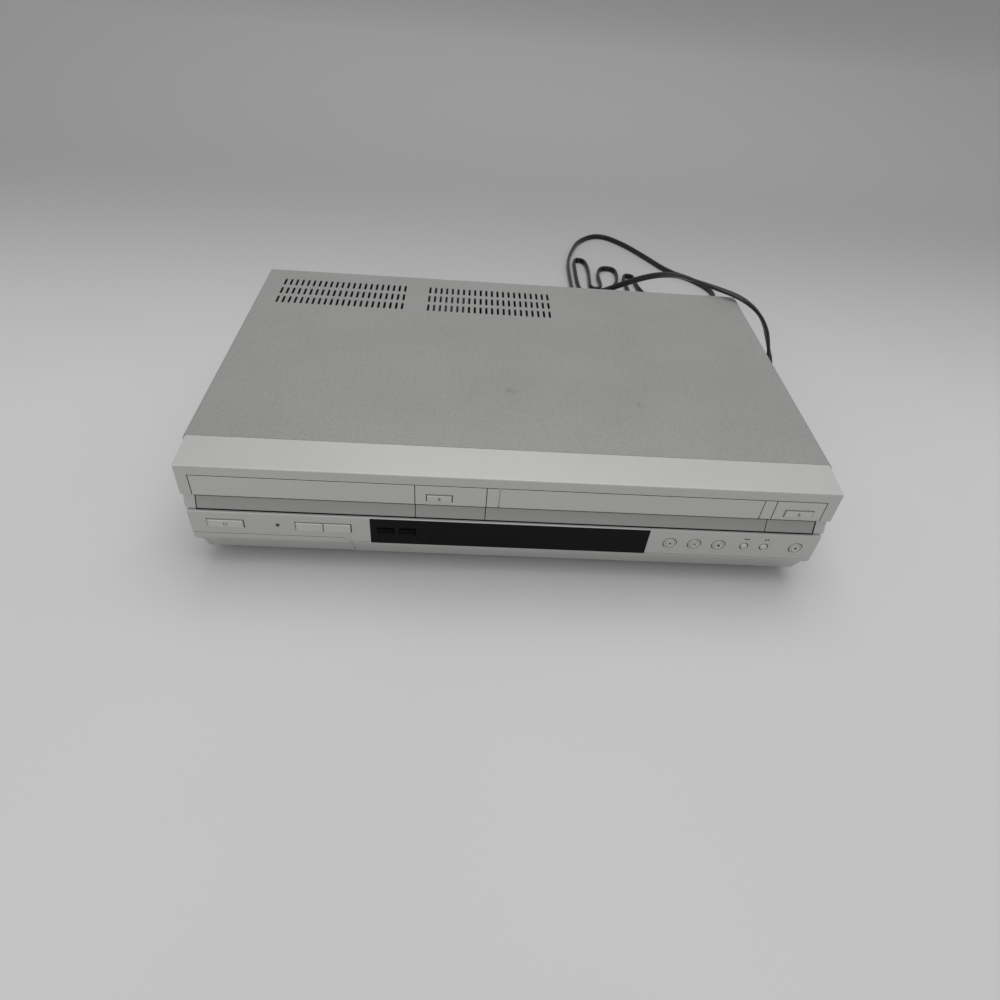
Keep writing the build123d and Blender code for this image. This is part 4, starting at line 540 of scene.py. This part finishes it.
# two scuffs that fade out 9 mm and 7 mm from their middles, broken up by a 1.6 mm noise
rubbed = add(satin_enamel, "ShaderNodeTexNoise", {"Vector": spot, "Scale": 1000 / 1.6, "Detail": 3.0})
for scuff_place, scuff_size in (((-2.2, -43, 87), 9), ((93, -52.5, 87), 7)):
    away = add(satin_enamel, "ShaderNodeVectorMath", {
        0: spot, 1: tuple(Vector(scuff_place) * MM),
    }, operation="DISTANCE")
    near = add(satin_enamel, "ShaderNodeMapRange", {
        "Value": away.outputs["Value"], "From Min": 0.0, "From Max": scuff_size * MM,
        "To Min": 0.3, "To Max": 0.0,
    })
    joined = add(satin_enamel, "ShaderNodeMath", {
        0: near.outputs["Result"], 1: rubbed.outputs["Fac"],
    }, operation="ADD")
    mark = add(satin_enamel, "ShaderNodeMapRange", {
        "Value": joined.outputs[0], "From Min": 0.70, "From Max": 0.80, "To Min": 0.0, "To Max": 0.6,
    })
    worn = add(satin_enamel, "ShaderNodeMath", {
        0: worn, 1: mark.outputs["Result"],
    }, operation="MAXIMUM").outputs[0]
scuffed = add(satin_enamel, "ShaderNodeMix", {
    0: worn, 6: flaked.outputs[2], 7: paint("#6f6f6d"),
}, data_type="RGBA")

# bare bright edges within 1.3 mm of the side folds
reach = add(satin_enamel, "ShaderNodeMath", {0: axes.outputs["X"]}, operation="ABSOLUTE")
fold = add(satin_enamel, "ShaderNodeMapRange", {
    "Value": reach.outputs[0], "From Min": 0.2137, "From Max": 0.2148, "To Min": 0.0, "To Max": 0.35,
})
height = add(satin_enamel, "ShaderNodeMapRange", {
    "Value": axes.outputs["Z"], "From Min": 0.0845, "From Max": 0.0862, "To Min": 0.0, "To Max": 1.0,
})
fold_part = add(satin_enamel, "ShaderNodeMath", {
    0: fold.outputs["Result"], 1: height.outputs["Result"],
}, operation="MULTIPLY")
edged = add(satin_enamel, "ShaderNodeMix", {
    0: fold_part.outputs[0], 6: scuffed.outputs[2], 7: paint("#b6b6b4"),
}, data_type="RGBA")
enamel_gloss = add(satin_enamel, "ShaderNodeMapRange", {
    "Value": cloud.outputs["Fac"], "From Min": 0.3, "From Max": 0.7, "To Min": 0.42, "To Max": 0.52,
})
enamel_relief = add(satin_enamel, "ShaderNodeBump", {
    "Height": flake.outputs["Fac"], "Distance": 0.02 * MM, "Strength": 0.5,
})
enamel = add(satin_enamel, "ShaderNodeBsdfPrincipled", {
    "Base Color": edged.outputs[2], "Metallic": 0.25, "Roughness": enamel_gloss.outputs["Result"],
    "Normal": enamel_relief.outputs["Normal"],
})
add(satin_enamel, "ShaderNodeOutputMaterial", {"Surface": enamel.outputs[0]})
print("cover enamel nodes", len(satin_enamel.node_tree.nodes))

# %% [markdown]
# ### Moulded and plated parts
# The front is ABS sprayed silver, lighter and smoother than the cover. The keys have the same paint,
# thinned and polished by fingers. The window is smoked acrylic, nearly black, with a hard gloss that
# a little dust softens. Inside are galvanised sheet, black and milky white mouldings, bright shafts
# and a turned aluminium drum. Each is given its usual roughness and a grain sized in millimetres.

# %% Plastics, metals and rubber
silver_abs = body_material(
    "silver_sprayed_abs", "#a9a9a7", "#b0b0ae", (0.36, 0.46), 1.0, 0.015, 55, metallic=0.2,
)
key_abs = body_material(
    "silver_sprayed_keys", "#b3b3b1", "#bdbdbb", (0.26, 0.36), 0.8, 0.01, 12, metallic=0.2, coat=0.1,
)
smoked_acrylic = body_material(
    "smoked_acrylic", "#060607", "#0a0a0b", (0.06, 0.12), 2.5, 0.002, 40, specular=0.12,
)
black_abs = body_material("moulded_black_abs", "#151515", "#1f1f1f", (0.42, 0.56), 0.7, 0.04, 25)
window_keys = body_material(
    "gloss_black_keys", "#020203", "#040405", (0.35, 0.45), 0.8, 0.01, 6, specular=0.08,
)
white_acetal = body_material("natural_acetal", "#dedcd2", "#cfccc0", (0.32, 0.42), 0.9, 0.02, 8)
zinc_sheet = body_material(
    "electroplated_zinc_sheet", "#aeb1b4", "#c3c5c7", (0.3, 0.48), 2.2, 0.01, 16, metallic=1.0,
)
bright_shaft = body_material(
    "ground_steel", "#c4c5c6", "#b2b3b5", (0.14, 0.24), 0.6, 0.004, 7, metallic=1.0,
)
black_screw = body_material(
    "black_oxide_steel", "#26262a", "#35353a", (0.32, 0.44), 0.5, 0.01, 3, metallic=1.0,
)
foot_rubber = body_material("black_foot_rubber", "#171717", "#262625", (0.66, 0.8), 0.6, 0.06, 6)
tube_glass = body_material(
    "dark_display_glass", "#0d1413", "#152220", (0.05, 0.1), 3.0, 0.001, 10, coat=0.4,
)
lens_resin = body_material("tinted_lens_resin", "#2b2320", "#3a302b", (0.08, 0.14), 1.0, 0.002, 2, coat=0.5)
print("materials so far", len(bpy.data.materials))

# %% [markdown]
# ### Turned aluminium
# The video drum is cut on a lathe, so its face shows fine rings round its own axis. A Wave texture in
# rings, moved onto the drum's axis by a Mapping node, gives the cutting marks. They are 0.05 mm apart
# on the real part and are drawn 0.5 mm apart so that they show.

# %% Turned aluminium of the drum
drum_mid = (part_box("upper_drum")[0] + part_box("upper_drum")[1]) / 2
turned_aluminium = new_material("fine_turned_aluminium")
spot = add(turned_aluminium, "ShaderNodeTexCoord").outputs["Object"]
centred = add(turned_aluminium, "ShaderNodeMapping", {
    "Vector": spot, "Location": (-drum_mid.x, -drum_mid.y, 0),
})
cuts = add(turned_aluminium, "ShaderNodeTexWave", {
    "Vector": centred.outputs[0], "Scale": 1000 / 0.5 / math.tau, "Distortion": 0.3,
}, wave_type="RINGS", rings_direction="Z")
cut_tone = add(turned_aluminium, "ShaderNodeMix", {
    0: cuts.outputs["Fac"], 6: paint("#b9babb"), 7: paint("#d0d1d2"),
}, data_type="RGBA")
cut_gloss = add(turned_aluminium, "ShaderNodeMapRange", {
    "Value": cuts.outputs["Fac"], "To Min": 0.18, "To Max": 0.3,
})
cut_relief = add(turned_aluminium, "ShaderNodeBump", {
    "Height": cuts.outputs["Fac"], "Distance": 0.02 * MM, "Strength": 0.4,
})
turned_face = add(turned_aluminium, "ShaderNodeBsdfPrincipled", {
    "Base Color": cut_tone.outputs[2], "Metallic": 1.0, "Roughness": cut_gloss.outputs["Result"],
    "Normal": cut_relief.outputs["Normal"],
})
add(turned_aluminium, "ShaderNodeOutputMaterial", {"Surface": turned_face.outputs[0]})

# %% [markdown]
# ### Circuit boards
# A board is green solder mask over copper tracks, with dark parts standing on it. The board and its
# parts are one CAD solid, so the material asks how far a point stands off the board: on the board it
# draws the mask and its tracks, and above it every part gets a tone by its place, black for most.

# %% Boards with their parts
def board_material(name, axis, board_from, board_to):
    """Solder mask with tracks between two heights along an axis, and parts outside them."""
    material = new_material(name)
    spot = add(material, "ShaderNodeTexCoord").outputs["Object"]
    parts = add(material, "ShaderNodeSeparateXYZ", {"Vector": spot})
    middle = (board_from + board_to) / 2 * MM
    off = add(material, "ShaderNodeMath", {0: parts.outputs[axis], 1: middle}, operation="SUBTRACT")
    far = add(material, "ShaderNodeMath", {0: off.outputs[0]}, operation="ABSOLUTE")
    above = add(material, "ShaderNodeMath", {
        0: far.outputs[0], 1: (board_to - board_from) / 2 * MM + 0.05 * MM,
    }, operation="GREATER_THAN")
    tracks = add(material, "ShaderNodeTexBrick", {
        "Vector": spot, "Scale": 1000 / 9, "Color1": paint("#12391f"), "Color2": paint("#10331c"),
        "Mortar": paint("#215437"), "Mortar Size": 0.05, "Row Height": 0.2, "Brick Width": 1.7,
    })
    cells = add(material, "ShaderNodeTexVoronoi", {"Vector": spot, "Scale": 1000 / 26})
    grey = add(material, "ShaderNodeSeparateXYZ", {"Vector": cells.outputs["Color"]})
    tone = add(material, "ShaderNodeMapRange", {"Value": grey.outputs["X"], "From Min": 0.5, "From Max": 0.9})
    part_tone = add(material, "ShaderNodeMix", {
        0: tone.outputs["Result"], 6: paint("#18181a"), 7: paint("#4b4d52"),
    }, data_type="RGBA")
    colour = add(material, "ShaderNodeMix", {
        0: above.outputs[0], 6: tracks.outputs["Color"], 7: part_tone.outputs[2],
    }, data_type="RGBA")
    gloss = add(material, "ShaderNodeMapRange", {"Value": grey.outputs["Y"], "To Min": 0.25, "To Max": 0.5})
    relief = add(material, "ShaderNodeBump", {
        "Height": tracks.outputs["Fac"], "Distance": 0.035 * MM, "Strength": 0.8,
    })
    shader = add(material, "ShaderNodeBsdfPrincipled", {
        "Base Color": colour.outputs[2], "Roughness": gloss.outputs["Result"],
        "Normal": relief.outputs["Normal"], "IOR": 1.52,
    })
    add(material, "ShaderNodeOutputMaterial", {"Surface": shader.outputs[0]})
    return material


flat_board = board_material("solder_masked_board", "Z", 14.0, 15.6)
upright_board = board_material("solder_masked_front_board", "Y", -124.0, -122.4)

# %% [markdown]
# ### Every CAD node gets its finish
# The CAD nodes that stay keep their meshes, and each slot is filled from the record's own slot name.

# %% Finishes by slot
finish_of_slot = {
    "painted_steel": satin_enamel, "zinc_steel": zinc_sheet, "silver_plastic": silver_abs,
    "key_plastic": key_abs, "black_plastic": black_abs, "white_plastic": white_acetal,
    "smoked_plastic": smoked_acrylic, "clear_plastic": lens_resin, "circuit_board": flat_board,
    "tube_glass": tube_glass, "ground_steel": bright_shaft, "turned_aluminium": turned_aluminium,
    "black_steel": black_screw, "rubber_black": foot_rubber, "cord_jacket": plug_jacket,
}
finish_of_node = {
    "front_board": upright_board, "channel_up_button": window_keys, "channel_down_button": window_keys,
}
for name, node in nodes.items():
    for slot in node.material_slots:
        wanted = slot.material.name.split(".")[0]
        slot.material = finish_of_node.get(name, finish_of_slot[wanted])
print("nodes finished", len(nodes))

# %% [markdown]
# ### Silver outside, painted shade inside
# The front is ABS sprayed silver, and every gap between its doors and keys is painted near black
# as the shade that falls in it, which is what draws the front's lines. The CAD solid has one material,
# so this one asks where a point lies: behind the front faces, inside the openings, it is painted black
# as shade. The doors are told by their own normals instead, as they turn on their hinges: a face that
# looks sideways, up, down or back is painted black as the shade in the gaps.

# %% Sprayed front, its openings painted black as shade
def math_node(material, operation, first, second=0.0):
    """One arithmetic step on two values or sockets."""
    return add(material, "ShaderNodeMath", {0: first, 1: second}, operation=operation).outputs[0]


def beyond(material, value, limit_mm):
    """1 where a value is more than a limit in millimetres."""
    return math_node(material, "GREATER_THAN", value, limit_mm * MM)


def under(material, value, limit_mm):
    """1 where a value is less than a limit in millimetres."""
    return math_node(material, "LESS_THAN", value, limit_mm * MM)


def all_true(material, *tests):
    """1 where every one of some tests is 1."""
    joined = tests[0]
    for test in tests[1:]:
        joined = math_node(material, "MULTIPLY", joined, test)
    return joined


def gap_shade_faces(material, place, level_from):
    """1 on faces that look sideways, up, down or back, which are painted black as the shade in the gaps."""
    facing = add(material, "ShaderNodeSeparateXYZ", {"Vector": place.outputs["Normal"]})
    aside = math_node(material, "ABSOLUTE", facing.outputs["X"])
    upward = math_node(material, "ABSOLUTE", facing.outputs["Z"])
    sideways = math_node(material, "GREATER_THAN", aside, 0.9)
    level = math_node(material, "GREATER_THAN", upward, level_from)
    behind = math_node(material, "GREATER_THAN", facing.outputs["Y"], 0.3)
    return math_node(material, "MAXIMUM", sideways, math_node(material, "MAXIMUM", level, behind))


def sprayed_abs(name, base, shade, strip_tone):
    """Silver paint with near black painted as shade; returns the material, its object place, its strip mix
    and its black mix of painted shade.
    """
    material = body_material(name, base, shade, (0.34, 0.44), 1.0, 0.015, 55, metallic=0.2)
    tree = material.node_tree
    shader = next(n for n in tree.nodes if n.type == "BSDF_PRINCIPLED")
    place = next(n for n in tree.nodes if n.type == "TEX_COORD")
    silver = shader.inputs["Base Color"].links[0].from_socket
    strip = add(material, "ShaderNodeMix", {0: 0.0, 6: silver, 7: paint(strip_tone)}, data_type="RGBA")
    # painted shade: this mix turns the silver near black wherever shade is painted
    black = add(material, "ShaderNodeMix", {
        0: 0.0, 6: strip.outputs[2], 7: paint("#0c0c0c"),
    }, data_type="RGBA")
    tree.links.new(black.outputs[2], shader.inputs["Base Color"])
    return material, place, strip, black


front_abs, place, strip, black = sprayed_abs("silver_sprayed_front", "#aeaeac", "#b6b6b4", "#aeaeac")
spot = add(front_abs, "ShaderNodeSeparateXYZ", {"Vector": place.outputs["Object"]})
out = math_node(front_abs, "ABSOLUTE", spot.outputs["X"])
high, deep = spot.outputs["Z"], spot.outputs["Y"]
# the opening for the row of doors, in mm
row_end, row_foot, row_top, upper_face = 206.0, 48.55, 77.95, -142.05
row = all_true(
    front_abs, under(front_abs, out, row_end), beyond(front_abs, high, row_foot),
    under(front_abs, high, row_top), beyond(front_abs, deep, upper_face),
)
# behind the lower face, which leans back 0.75 mm over its 24.2 mm
ledge, front_face, face_lean = 48.6, -143.75, 0.75 / 24.2
drop = math_node(front_abs, "SUBTRACT", ledge * MM, high)
fall = math_node(front_abs, "MULTIPLY", drop, face_lean)
face_at = math_node(front_abs, "ADD", fall, front_face * MM)
shade_from = math_node(front_abs, "ADD", face_at, 0.22 * MM)
low_top, low_foot, low_end = 47.9, 26.0, 209.0
low = all_true(
    front_abs, math_node(front_abs, "GREATER_THAN", deep, shade_from), under(front_abs, high, low_top),
    beyond(front_abs, high, low_foot), under(front_abs, out, low_end),
)
# behind the slanted plinth, which falls back 8.5 mm over its 16.2 mm
plinth_top, plinth_face, plinth_lean = 24.4, -142.3, 8.5 / 16.2
drop = math_node(front_abs, "SUBTRACT", plinth_top * MM, high)
slant = math_node(front_abs, "MULTIPLY", drop, plinth_lean)
plinth_at = math_node(front_abs, "ADD", slant, plinth_face * MM)
plinth = all_true(
    front_abs, math_node(front_abs, "GREATER_THAN", deep, plinth_at),
    under(front_abs, high, low_foot + 0.01), under(front_abs, out, row_end),
)
# painted shade: in the door row's opening, behind the lower face and behind the plinth, the colour is painted
# near black
inside = math_node(front_abs, "MAXIMUM", row, math_node(front_abs, "MAXIMUM", low, plinth))
front_abs.node_tree.links.new(inside, black.inputs[0])

# %% Sprayed doors, with painted shade on their edges, strip and step
# painted shade: the recessed strip below the step gets the darker #989896, the shade under the overhang
door_abs, place, strip, black = sprayed_abs("silver_sprayed_doors", "#b3b3b1", "#b9b9b7", "#989896")
# painted shade: the doors' edge faces are painted black as the shade in their gaps
edge = gap_shade_faces(door_abs, place, 0.8)
spot = add(door_abs, "ShaderNodeSeparateXYZ", {"Vector": place.outputs["Object"]})
band_top, band_foot = 60.4, 57.75
shadowed = under(door_abs, spot.outputs["Z"], band_top)
door_abs.node_tree.links.new(shadowed, strip.inputs[0])
# painted shade: a band across the foot of the step is darkened 70 per cent towards black, standing in for the
# shadow line there
banded = beyond(door_abs, spot.outputs["Z"], band_foot)
shade_line = math_node(door_abs, "MULTIPLY", all_true(door_abs, shadowed, banded), 0.7)
door_abs.node_tree.links.new(math_node(door_abs, "MAXIMUM", edge, shade_line), black.inputs[0])

flap_abs, place, strip, black = sprayed_abs("silver_sprayed_jack_door", "#aeaeac", "#b6b6b4", "#aeaeac")
# painted shade: the flap's edge faces are painted black as the shade in its gaps
edge = gap_shade_faces(flap_abs, place, 0.9)
flap_abs.node_tree.links.new(edge, black.inputs[0])

nodes["front_panel"].material_slots[0].material = front_abs
for name in ("tray_door", "cassette_door", "dvd_eject_bezel", "vcr_eject_bezel"):
    nodes[name].material_slots[0].material = door_abs
nodes["jack_door"].material_slots[0].material = flap_abs
print("front finishes set")

# %% [markdown]
# ### Rim behind the front
# The front is 2 mm narrower than the cover on each side and steps in further toward its foot. A thin
# rim at the back of the moulding fills that step, so that nobody sees past the front into the case.
# It stands 0.4 mm ahead of the cover's edge, and its front face is drawn in a little all round.

# %% Rims beside the cover's edge
for side, mark in ((-1, "left"), (1, "right")):
    ends = sorted((side * 205.8, side * 214.9))
    rim = slab(f"panel_rim_{mark}", (ends[0], -114.6, 8.7), (ends[1], -113.65, 86.3))
    choose(rim, lambda face: face.normal.y < -0.9)
    bpy.ops.mesh.inset(thickness=0.3 * MM)
    bpy.ops.transform.translate(value=(0, -0.2 * MM, 0))
    close(rim)
    settle(rim, silver_abs, "case", "silver_plastic")
print("rims 2")

# %% [markdown]
# ## The round keys
# Six keys are round. The four big ones have a raised rim, a groove inside it and a dished middle that
# finds the finger, and the two small ones are domed. Each is turned in one go, cap, flange and stem,
# and replaces its CAD node.

# %% Turn the round keys
def face_at_height(z):
    """Where the lower face stands, in mm, at a height in mm."""
    return front_face + (ledge - z) * face_lean


key_row_z = 36.4
round_keys = {
    "play_button": 109.1, "pause_button": 126.1, "stop_button": 143.1, "record_button": 197.4,
    "rewind_button": 161.0, "forward_button": 174.9,
}
wall_behind = -140.55
dish = 0.5  # depth of the dished middle
for name, x in round_keys.items():
    low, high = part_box(name)
    radius = round((high.z - low.z) / 2 / MM - 1.0, 2)
    front, stem = low.y / MM, high.y / MM
    if radius > 3:
        cap = [(0, front + dish), (1.6, front + dish - 0.05), (radius - 1.35, front + dish - 0.22),
               (radius - 1.25, front + 1.0), (radius - 0.85, front + 1.0), (radius - 0.75, front + 0.04),
               (radius - 0.45, front), (radius - 0.15, front + 0.1), (radius, front + 0.4)]
    else:
        cap = [(0, front), (0.4 * radius, front + 0.05), (0.7 * radius, front + 0.22),
               (0.9 * radius, front + 0.55), (radius, front + 1.1)]
    cap += [(radius, wall_behind), (radius + 1, wall_behind), (radius + 1, wall_behind + 1),
            (1.6, wall_behind + 1), (1.6, stem), (0, stem)]
    key = turned(name + "_turned", cap, (x, 0, (low.z + high.z) / 2 / MM), "y", 40)
    settle(key, key_abs, name + "_cap", "key_plastic", name)
print("round keys", len(round_keys))

# %% [markdown]
# ## Printed signs
# Only signs that any such deck has are printed: a triangle, two bars, a square and a dot on the round
# keys, double arrows over the two small ones, a bar under a triangle on both eject keys, and a broken
# ring with a stroke on the power key. A sign is
# screen printed ink, a film a few hundredths of a millimetre thick, made here as flat shapes cut from
# small discs and squares and pulled out to 0.04 mm. They stand just clear of the surface.

# %% Shapes for signs
ink = body_material("screen_printed_ink", "#2a2b2c", "#363738", (0.45, 0.6), 0.4, 0.004, 3)
INK_FILM = 0.04


def flat_shape(corners, across, size, stretch=(1, 1), turn=0.0):
    """Add a flat shape with some corners, facing the front, and pull it out to the ink's thickness."""
    bpy.ops.object.select_all(action="DESELECT")
    bpy.ops.mesh.primitive_circle_add(vertices=corners, radius=size * MM, fill_type="NGON")
    shape = bpy.context.object
    shape.rotation_euler = (0, 0, turn)
    bpy.ops.object.transform_apply(location=True, rotation=True, scale=True)
    bpy.ops.object.mode_set(mode="EDIT")
    bpy.ops.transform.resize(value=(stretch[0], stretch[1], 1))
    bpy.ops.mesh.extrude_region_move(TRANSFORM_OT_translate={"value": (0, 0, INK_FILM * MM)})
    bpy.ops.mesh.select_all(action="SELECT")
    bpy.ops.mesh.normals_make_consistent(inside=False)
    bpy.ops.object.mode_set(mode="OBJECT")
    shape.rotation_euler = (math.pi / 2, 0, 0)
    shape.location = Vector(across) * MM
    bpy.ops.object.transform_apply(location=True, rotation=True, scale=True)
    return shape


def sign(name, shapes, body, record_slot):
    """Join flat shapes into one printed sign on a body."""
    bpy.ops.object.select_all(action="DESELECT")
    for shape in shapes:
        shape.select_set(True)
    bpy.context.view_layer.objects.active = shapes[0]
    if len(shapes) > 1:
        bpy.ops.object.join()
    shapes[0].name = name
    settle(shapes[0], ink, body, record_slot)


square = math.pi / 4
right, left, up = -math.pi / 2, math.pi / 2, 0.0
key_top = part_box("play_button")[0].y / MM + dish - 0.08

# %% Signs on the keys
# corners, shift from the key's middle in mm, size in mm, stretch and turn of each shape
key_signs = {
    "play": [(3, 0, 1.3, (1, 1), right)],
    "pause": [(4, -0.7, 1.3, (0.3, 1), square), (4, 0.7, 1.3, (0.3, 1), square)],
    "stop": [(4, 0, 1.3, (1, 1), square)],
    "record": [(20, 0, 0.95, (1, 1), 0.0)],
}
for key, shapes in key_signs.items():
    x = round_keys[f"{key}_button"]
    sign(f"{key}_sign", [
        flat_shape(corners, (x + shift, key_top, key_row_z), size, stretch, turn)
        for corners, shift, size, stretch, turn in shapes
    ], f"{key}_button_cap", "key_plastic")
for name, x, way in (("rewind_sign", 161.0, left), ("forward_sign", 174.9, right)):
    z = 43.2
    face = face_at_height(z) - 0.01
    sign(name, [
        flat_shape(3, (x + 0.4 - 0.95, face, z), 1.25, (1, 0.8), way),
        flat_shape(3, (x + 0.4 + 0.95, face, z), 1.25, (1, 0.8), way),
    ], "case", "silver_plastic")
for name, key in (("dvd_eject_sign", "dvd_eject_button"), ("vcr_eject_sign", "vcr_eject_button")):
    low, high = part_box(key)
    x, z, face = (low.x + high.x) / 2 / MM, 67.2, low.y / MM - 0.01
    sign(name, [
        flat_shape(3, (x, face, z + 0.35), 1.2, (1, 0.8), up),
        flat_shape(4, (x, face, z - 0.95), 1.4, (1, 0.2), square),
    ], key + "_cap", "key_plastic")

# %% [markdown]
# ### Power sign
# The broken ring is a small square section spun through 300 degrees about the key's normal, and the
# stroke stands in its gap.

# %% Power sign
power_low, power_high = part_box("power_button")
power_x = (power_low.x + power_high.x) / 2
power_face = power_low.y - 0.01 * MM
power_z = 38.6 * MM
bpy.ops.object.select_all(action="DESELECT")
bpy.ops.mesh.primitive_plane_add(
    size=1, location=(power_x, power_face - INK_FILM / 2 * MM, power_z + 1.25 * MM),
    rotation=(0, math.pi / 2, 0),
)
power_ring = bpy.context.object
power_ring.scale = (0.35 * MM, INK_FILM * MM, 1)
bpy.ops.object.transform_apply(location=True, rotation=True, scale=True)
bpy.ops.object.mode_set(mode="EDIT")
bpy.ops.mesh.spin(
    steps=24, angle=math.radians(300), center=(power_x, power_face, power_z), axis=(0, 1, 0),
)
bpy.ops.mesh.select_all(action="SELECT")
bpy.ops.transform.rotate(
    value=math.radians(-150 - 180), orient_axis="Y", center_override=(power_x, power_face, power_z),
)
bpy.ops.mesh.normals_make_consistent(inside=False)
bpy.ops.object.mode_set(mode="OBJECT")
stroke = flat_shape(4, (power_x / MM, power_face / MM, power_z / MM + 1.1), 0.75, (0.25, 1), square)
sign("power_sign", [power_ring, stroke], "power_button_cap", "key_plastic")
print("signs", len([n for n in pieces_made if n.endswith("sign")]))

# %% [markdown]
# ## Window keys
# The two channel keys are dark and sit in the dark window. A ridge shaped like a roof crosses each
# one, and the light catches its two slopes.

# %% Roof ridges on the channel keys
for name in ("channel_down_button", "channel_up_button"):
    low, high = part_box(name)
    x, z = (low.x + high.x) / 2 / MM, (low.z + high.z) / 2 / MM
    face = low.y / MM
    ridge = slab(name + "_ridge", (x - 4.6, face - 0.05, z - 1.9), (x + 4.6, face + 0.3, z + 1.9))
    bpy.ops.object.mode_set(mode="EDIT")
    bpy.ops.mesh.select_all(action="SELECT")
    bpy.ops.mesh.bisect(plane_co=(x * MM, face * MM, z * MM), plane_no=(1, 0, 0))
    bpy.ops.object.mode_set(mode="OBJECT")
    for vertex in ridge.data.vertices:
        off = abs(vertex.co.x - x * MM)
        if vertex.co.z > z * MM:
            vertex.co.z = (z + 1.9) * MM - off * 0.55
        else:
            vertex.co.z = (z - 0.4) * MM - off * 0.32
    choose(ridge, lambda face_: face_.normal.y < -0.9)
    bpy.ops.mesh.inset(thickness=0.5 * MM)
    bpy.ops.transform.translate(value=(0, -0.45 * MM, 0))
    close(ridge)
    settle(ridge, window_keys, name + "_cap", "black_plastic")
print("channel key ridges 2")

# %% [markdown]
# ## Rear sockets
# The rear cannot be seen in the picture, so it has what such decks have: two rows of phono sockets
# and a tuner can with two threaded aerial sockets. A phono socket is a coloured plastic collar, yellow
# for picture, white and red for sound, with a nickel sleeve and a dark hole for the pin. One function
# turns each of the twelve in its own place.

# %% Phono sockets
jack_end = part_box("rear_jacks")[1].y / MM
socket_face = 135.65
collar_colours = {
    "yellow": body_material("yellow_socket_abs", "#d9b51f", "#cda91a", (0.3, 0.4), 0.7, 0.02, 5),
    "white": body_material("white_socket_abs", "#e2e1db", "#d6d5cf", (0.3, 0.4), 0.7, 0.02, 5),
    "red": body_material("red_socket_abs", "#b5241f", "#a61f1b", (0.3, 0.4), 0.7, 0.02, 5),
}


def phono(name, x, z, colour, back, end, body_radius):
    """Turn a phono socket: a coloured collar, a nickel sleeve in it, and a dark pin hole."""
    outline = [
        (0.8, back), (body_radius + 1.1, back), (body_radius + 1.1, back + 0.9),
        (body_radius + 0.7, back + 1.3),
        (body_radius - 0.2, back + 1.3), (body_radius - 0.2, end - 0.5), (body_radius - 0.5, end - 0.1),
        (body_radius - 0.9, end - 0.1), (body_radius - 1.0, end - 0.6), (1.7, end - 0.6), (1.5, end - 1.0),
        (1.5, end - 6), (0.8, end - 6),
    ]
    socket = turned(name, outline, (x, 0, z), "y", 32)
    for material in (collar_colours[colour], nickel, black_abs):
        socket.data.materials.append(material)
    for face in socket.data.polygons:
        middle = face.center / MM
        out = math.hypot(middle.x - x, middle.z - z)
        if out > body_radius - 0.3 and middle.y < back + 1.35:
            face.material_index = 0
        elif out > body_radius - 1.05:
            face.material_index = 1
        else:
            face.material_index = 2
    return socket


phono_columns = ("yellow", "white", "red", "yellow", "white", "red")
for column, colour in enumerate(phono_columns):
    for row_z in (28, 46):
        x = -197 + 16 * column
        socket = phono(f"phono_socket_{column}_{row_z}", x, row_z, colour, socket_face, jack_end, 4.15)
        settle(socket, nickel, "case", "black_plastic")
print("phono sockets", len(phono_columns) * 2)

# %% [markdown]
# ### Aerial sockets
# The barrel of an aerial socket has a fine thread. Its rings are turned 0.8 mm apart.

# %% Threaded aerial sockets
for row, z in enumerate((28, 50)):
    outline = [(1.1, socket_face), (6.6, socket_face), (6.6, socket_face + 1.2), (4.9, socket_face + 1.2)]
    at = socket_face + 1.4
    while at < jack_end - 0.9:
        outline += [(4.9, at), (4.55, at + 0.4)]
        at += 0.8
    outline += [(4.3, jack_end - 0.02), (3.6, jack_end - 0.02), (3.5, jack_end - 0.8), (1.1, jack_end - 0.8),
                (1.1, socket_face)]
    aerial = turned(f"aerial_socket_{row}", outline, (-57, 0, z), "y", 36)
    settle(aerial, nickel, "case", "ground_steel")
print("aerial sockets 2")

# %% [markdown]
# ## The last step
# The count of pieces made is printed.

# %% Pieces made
print("pieces made", len(pieces_made))
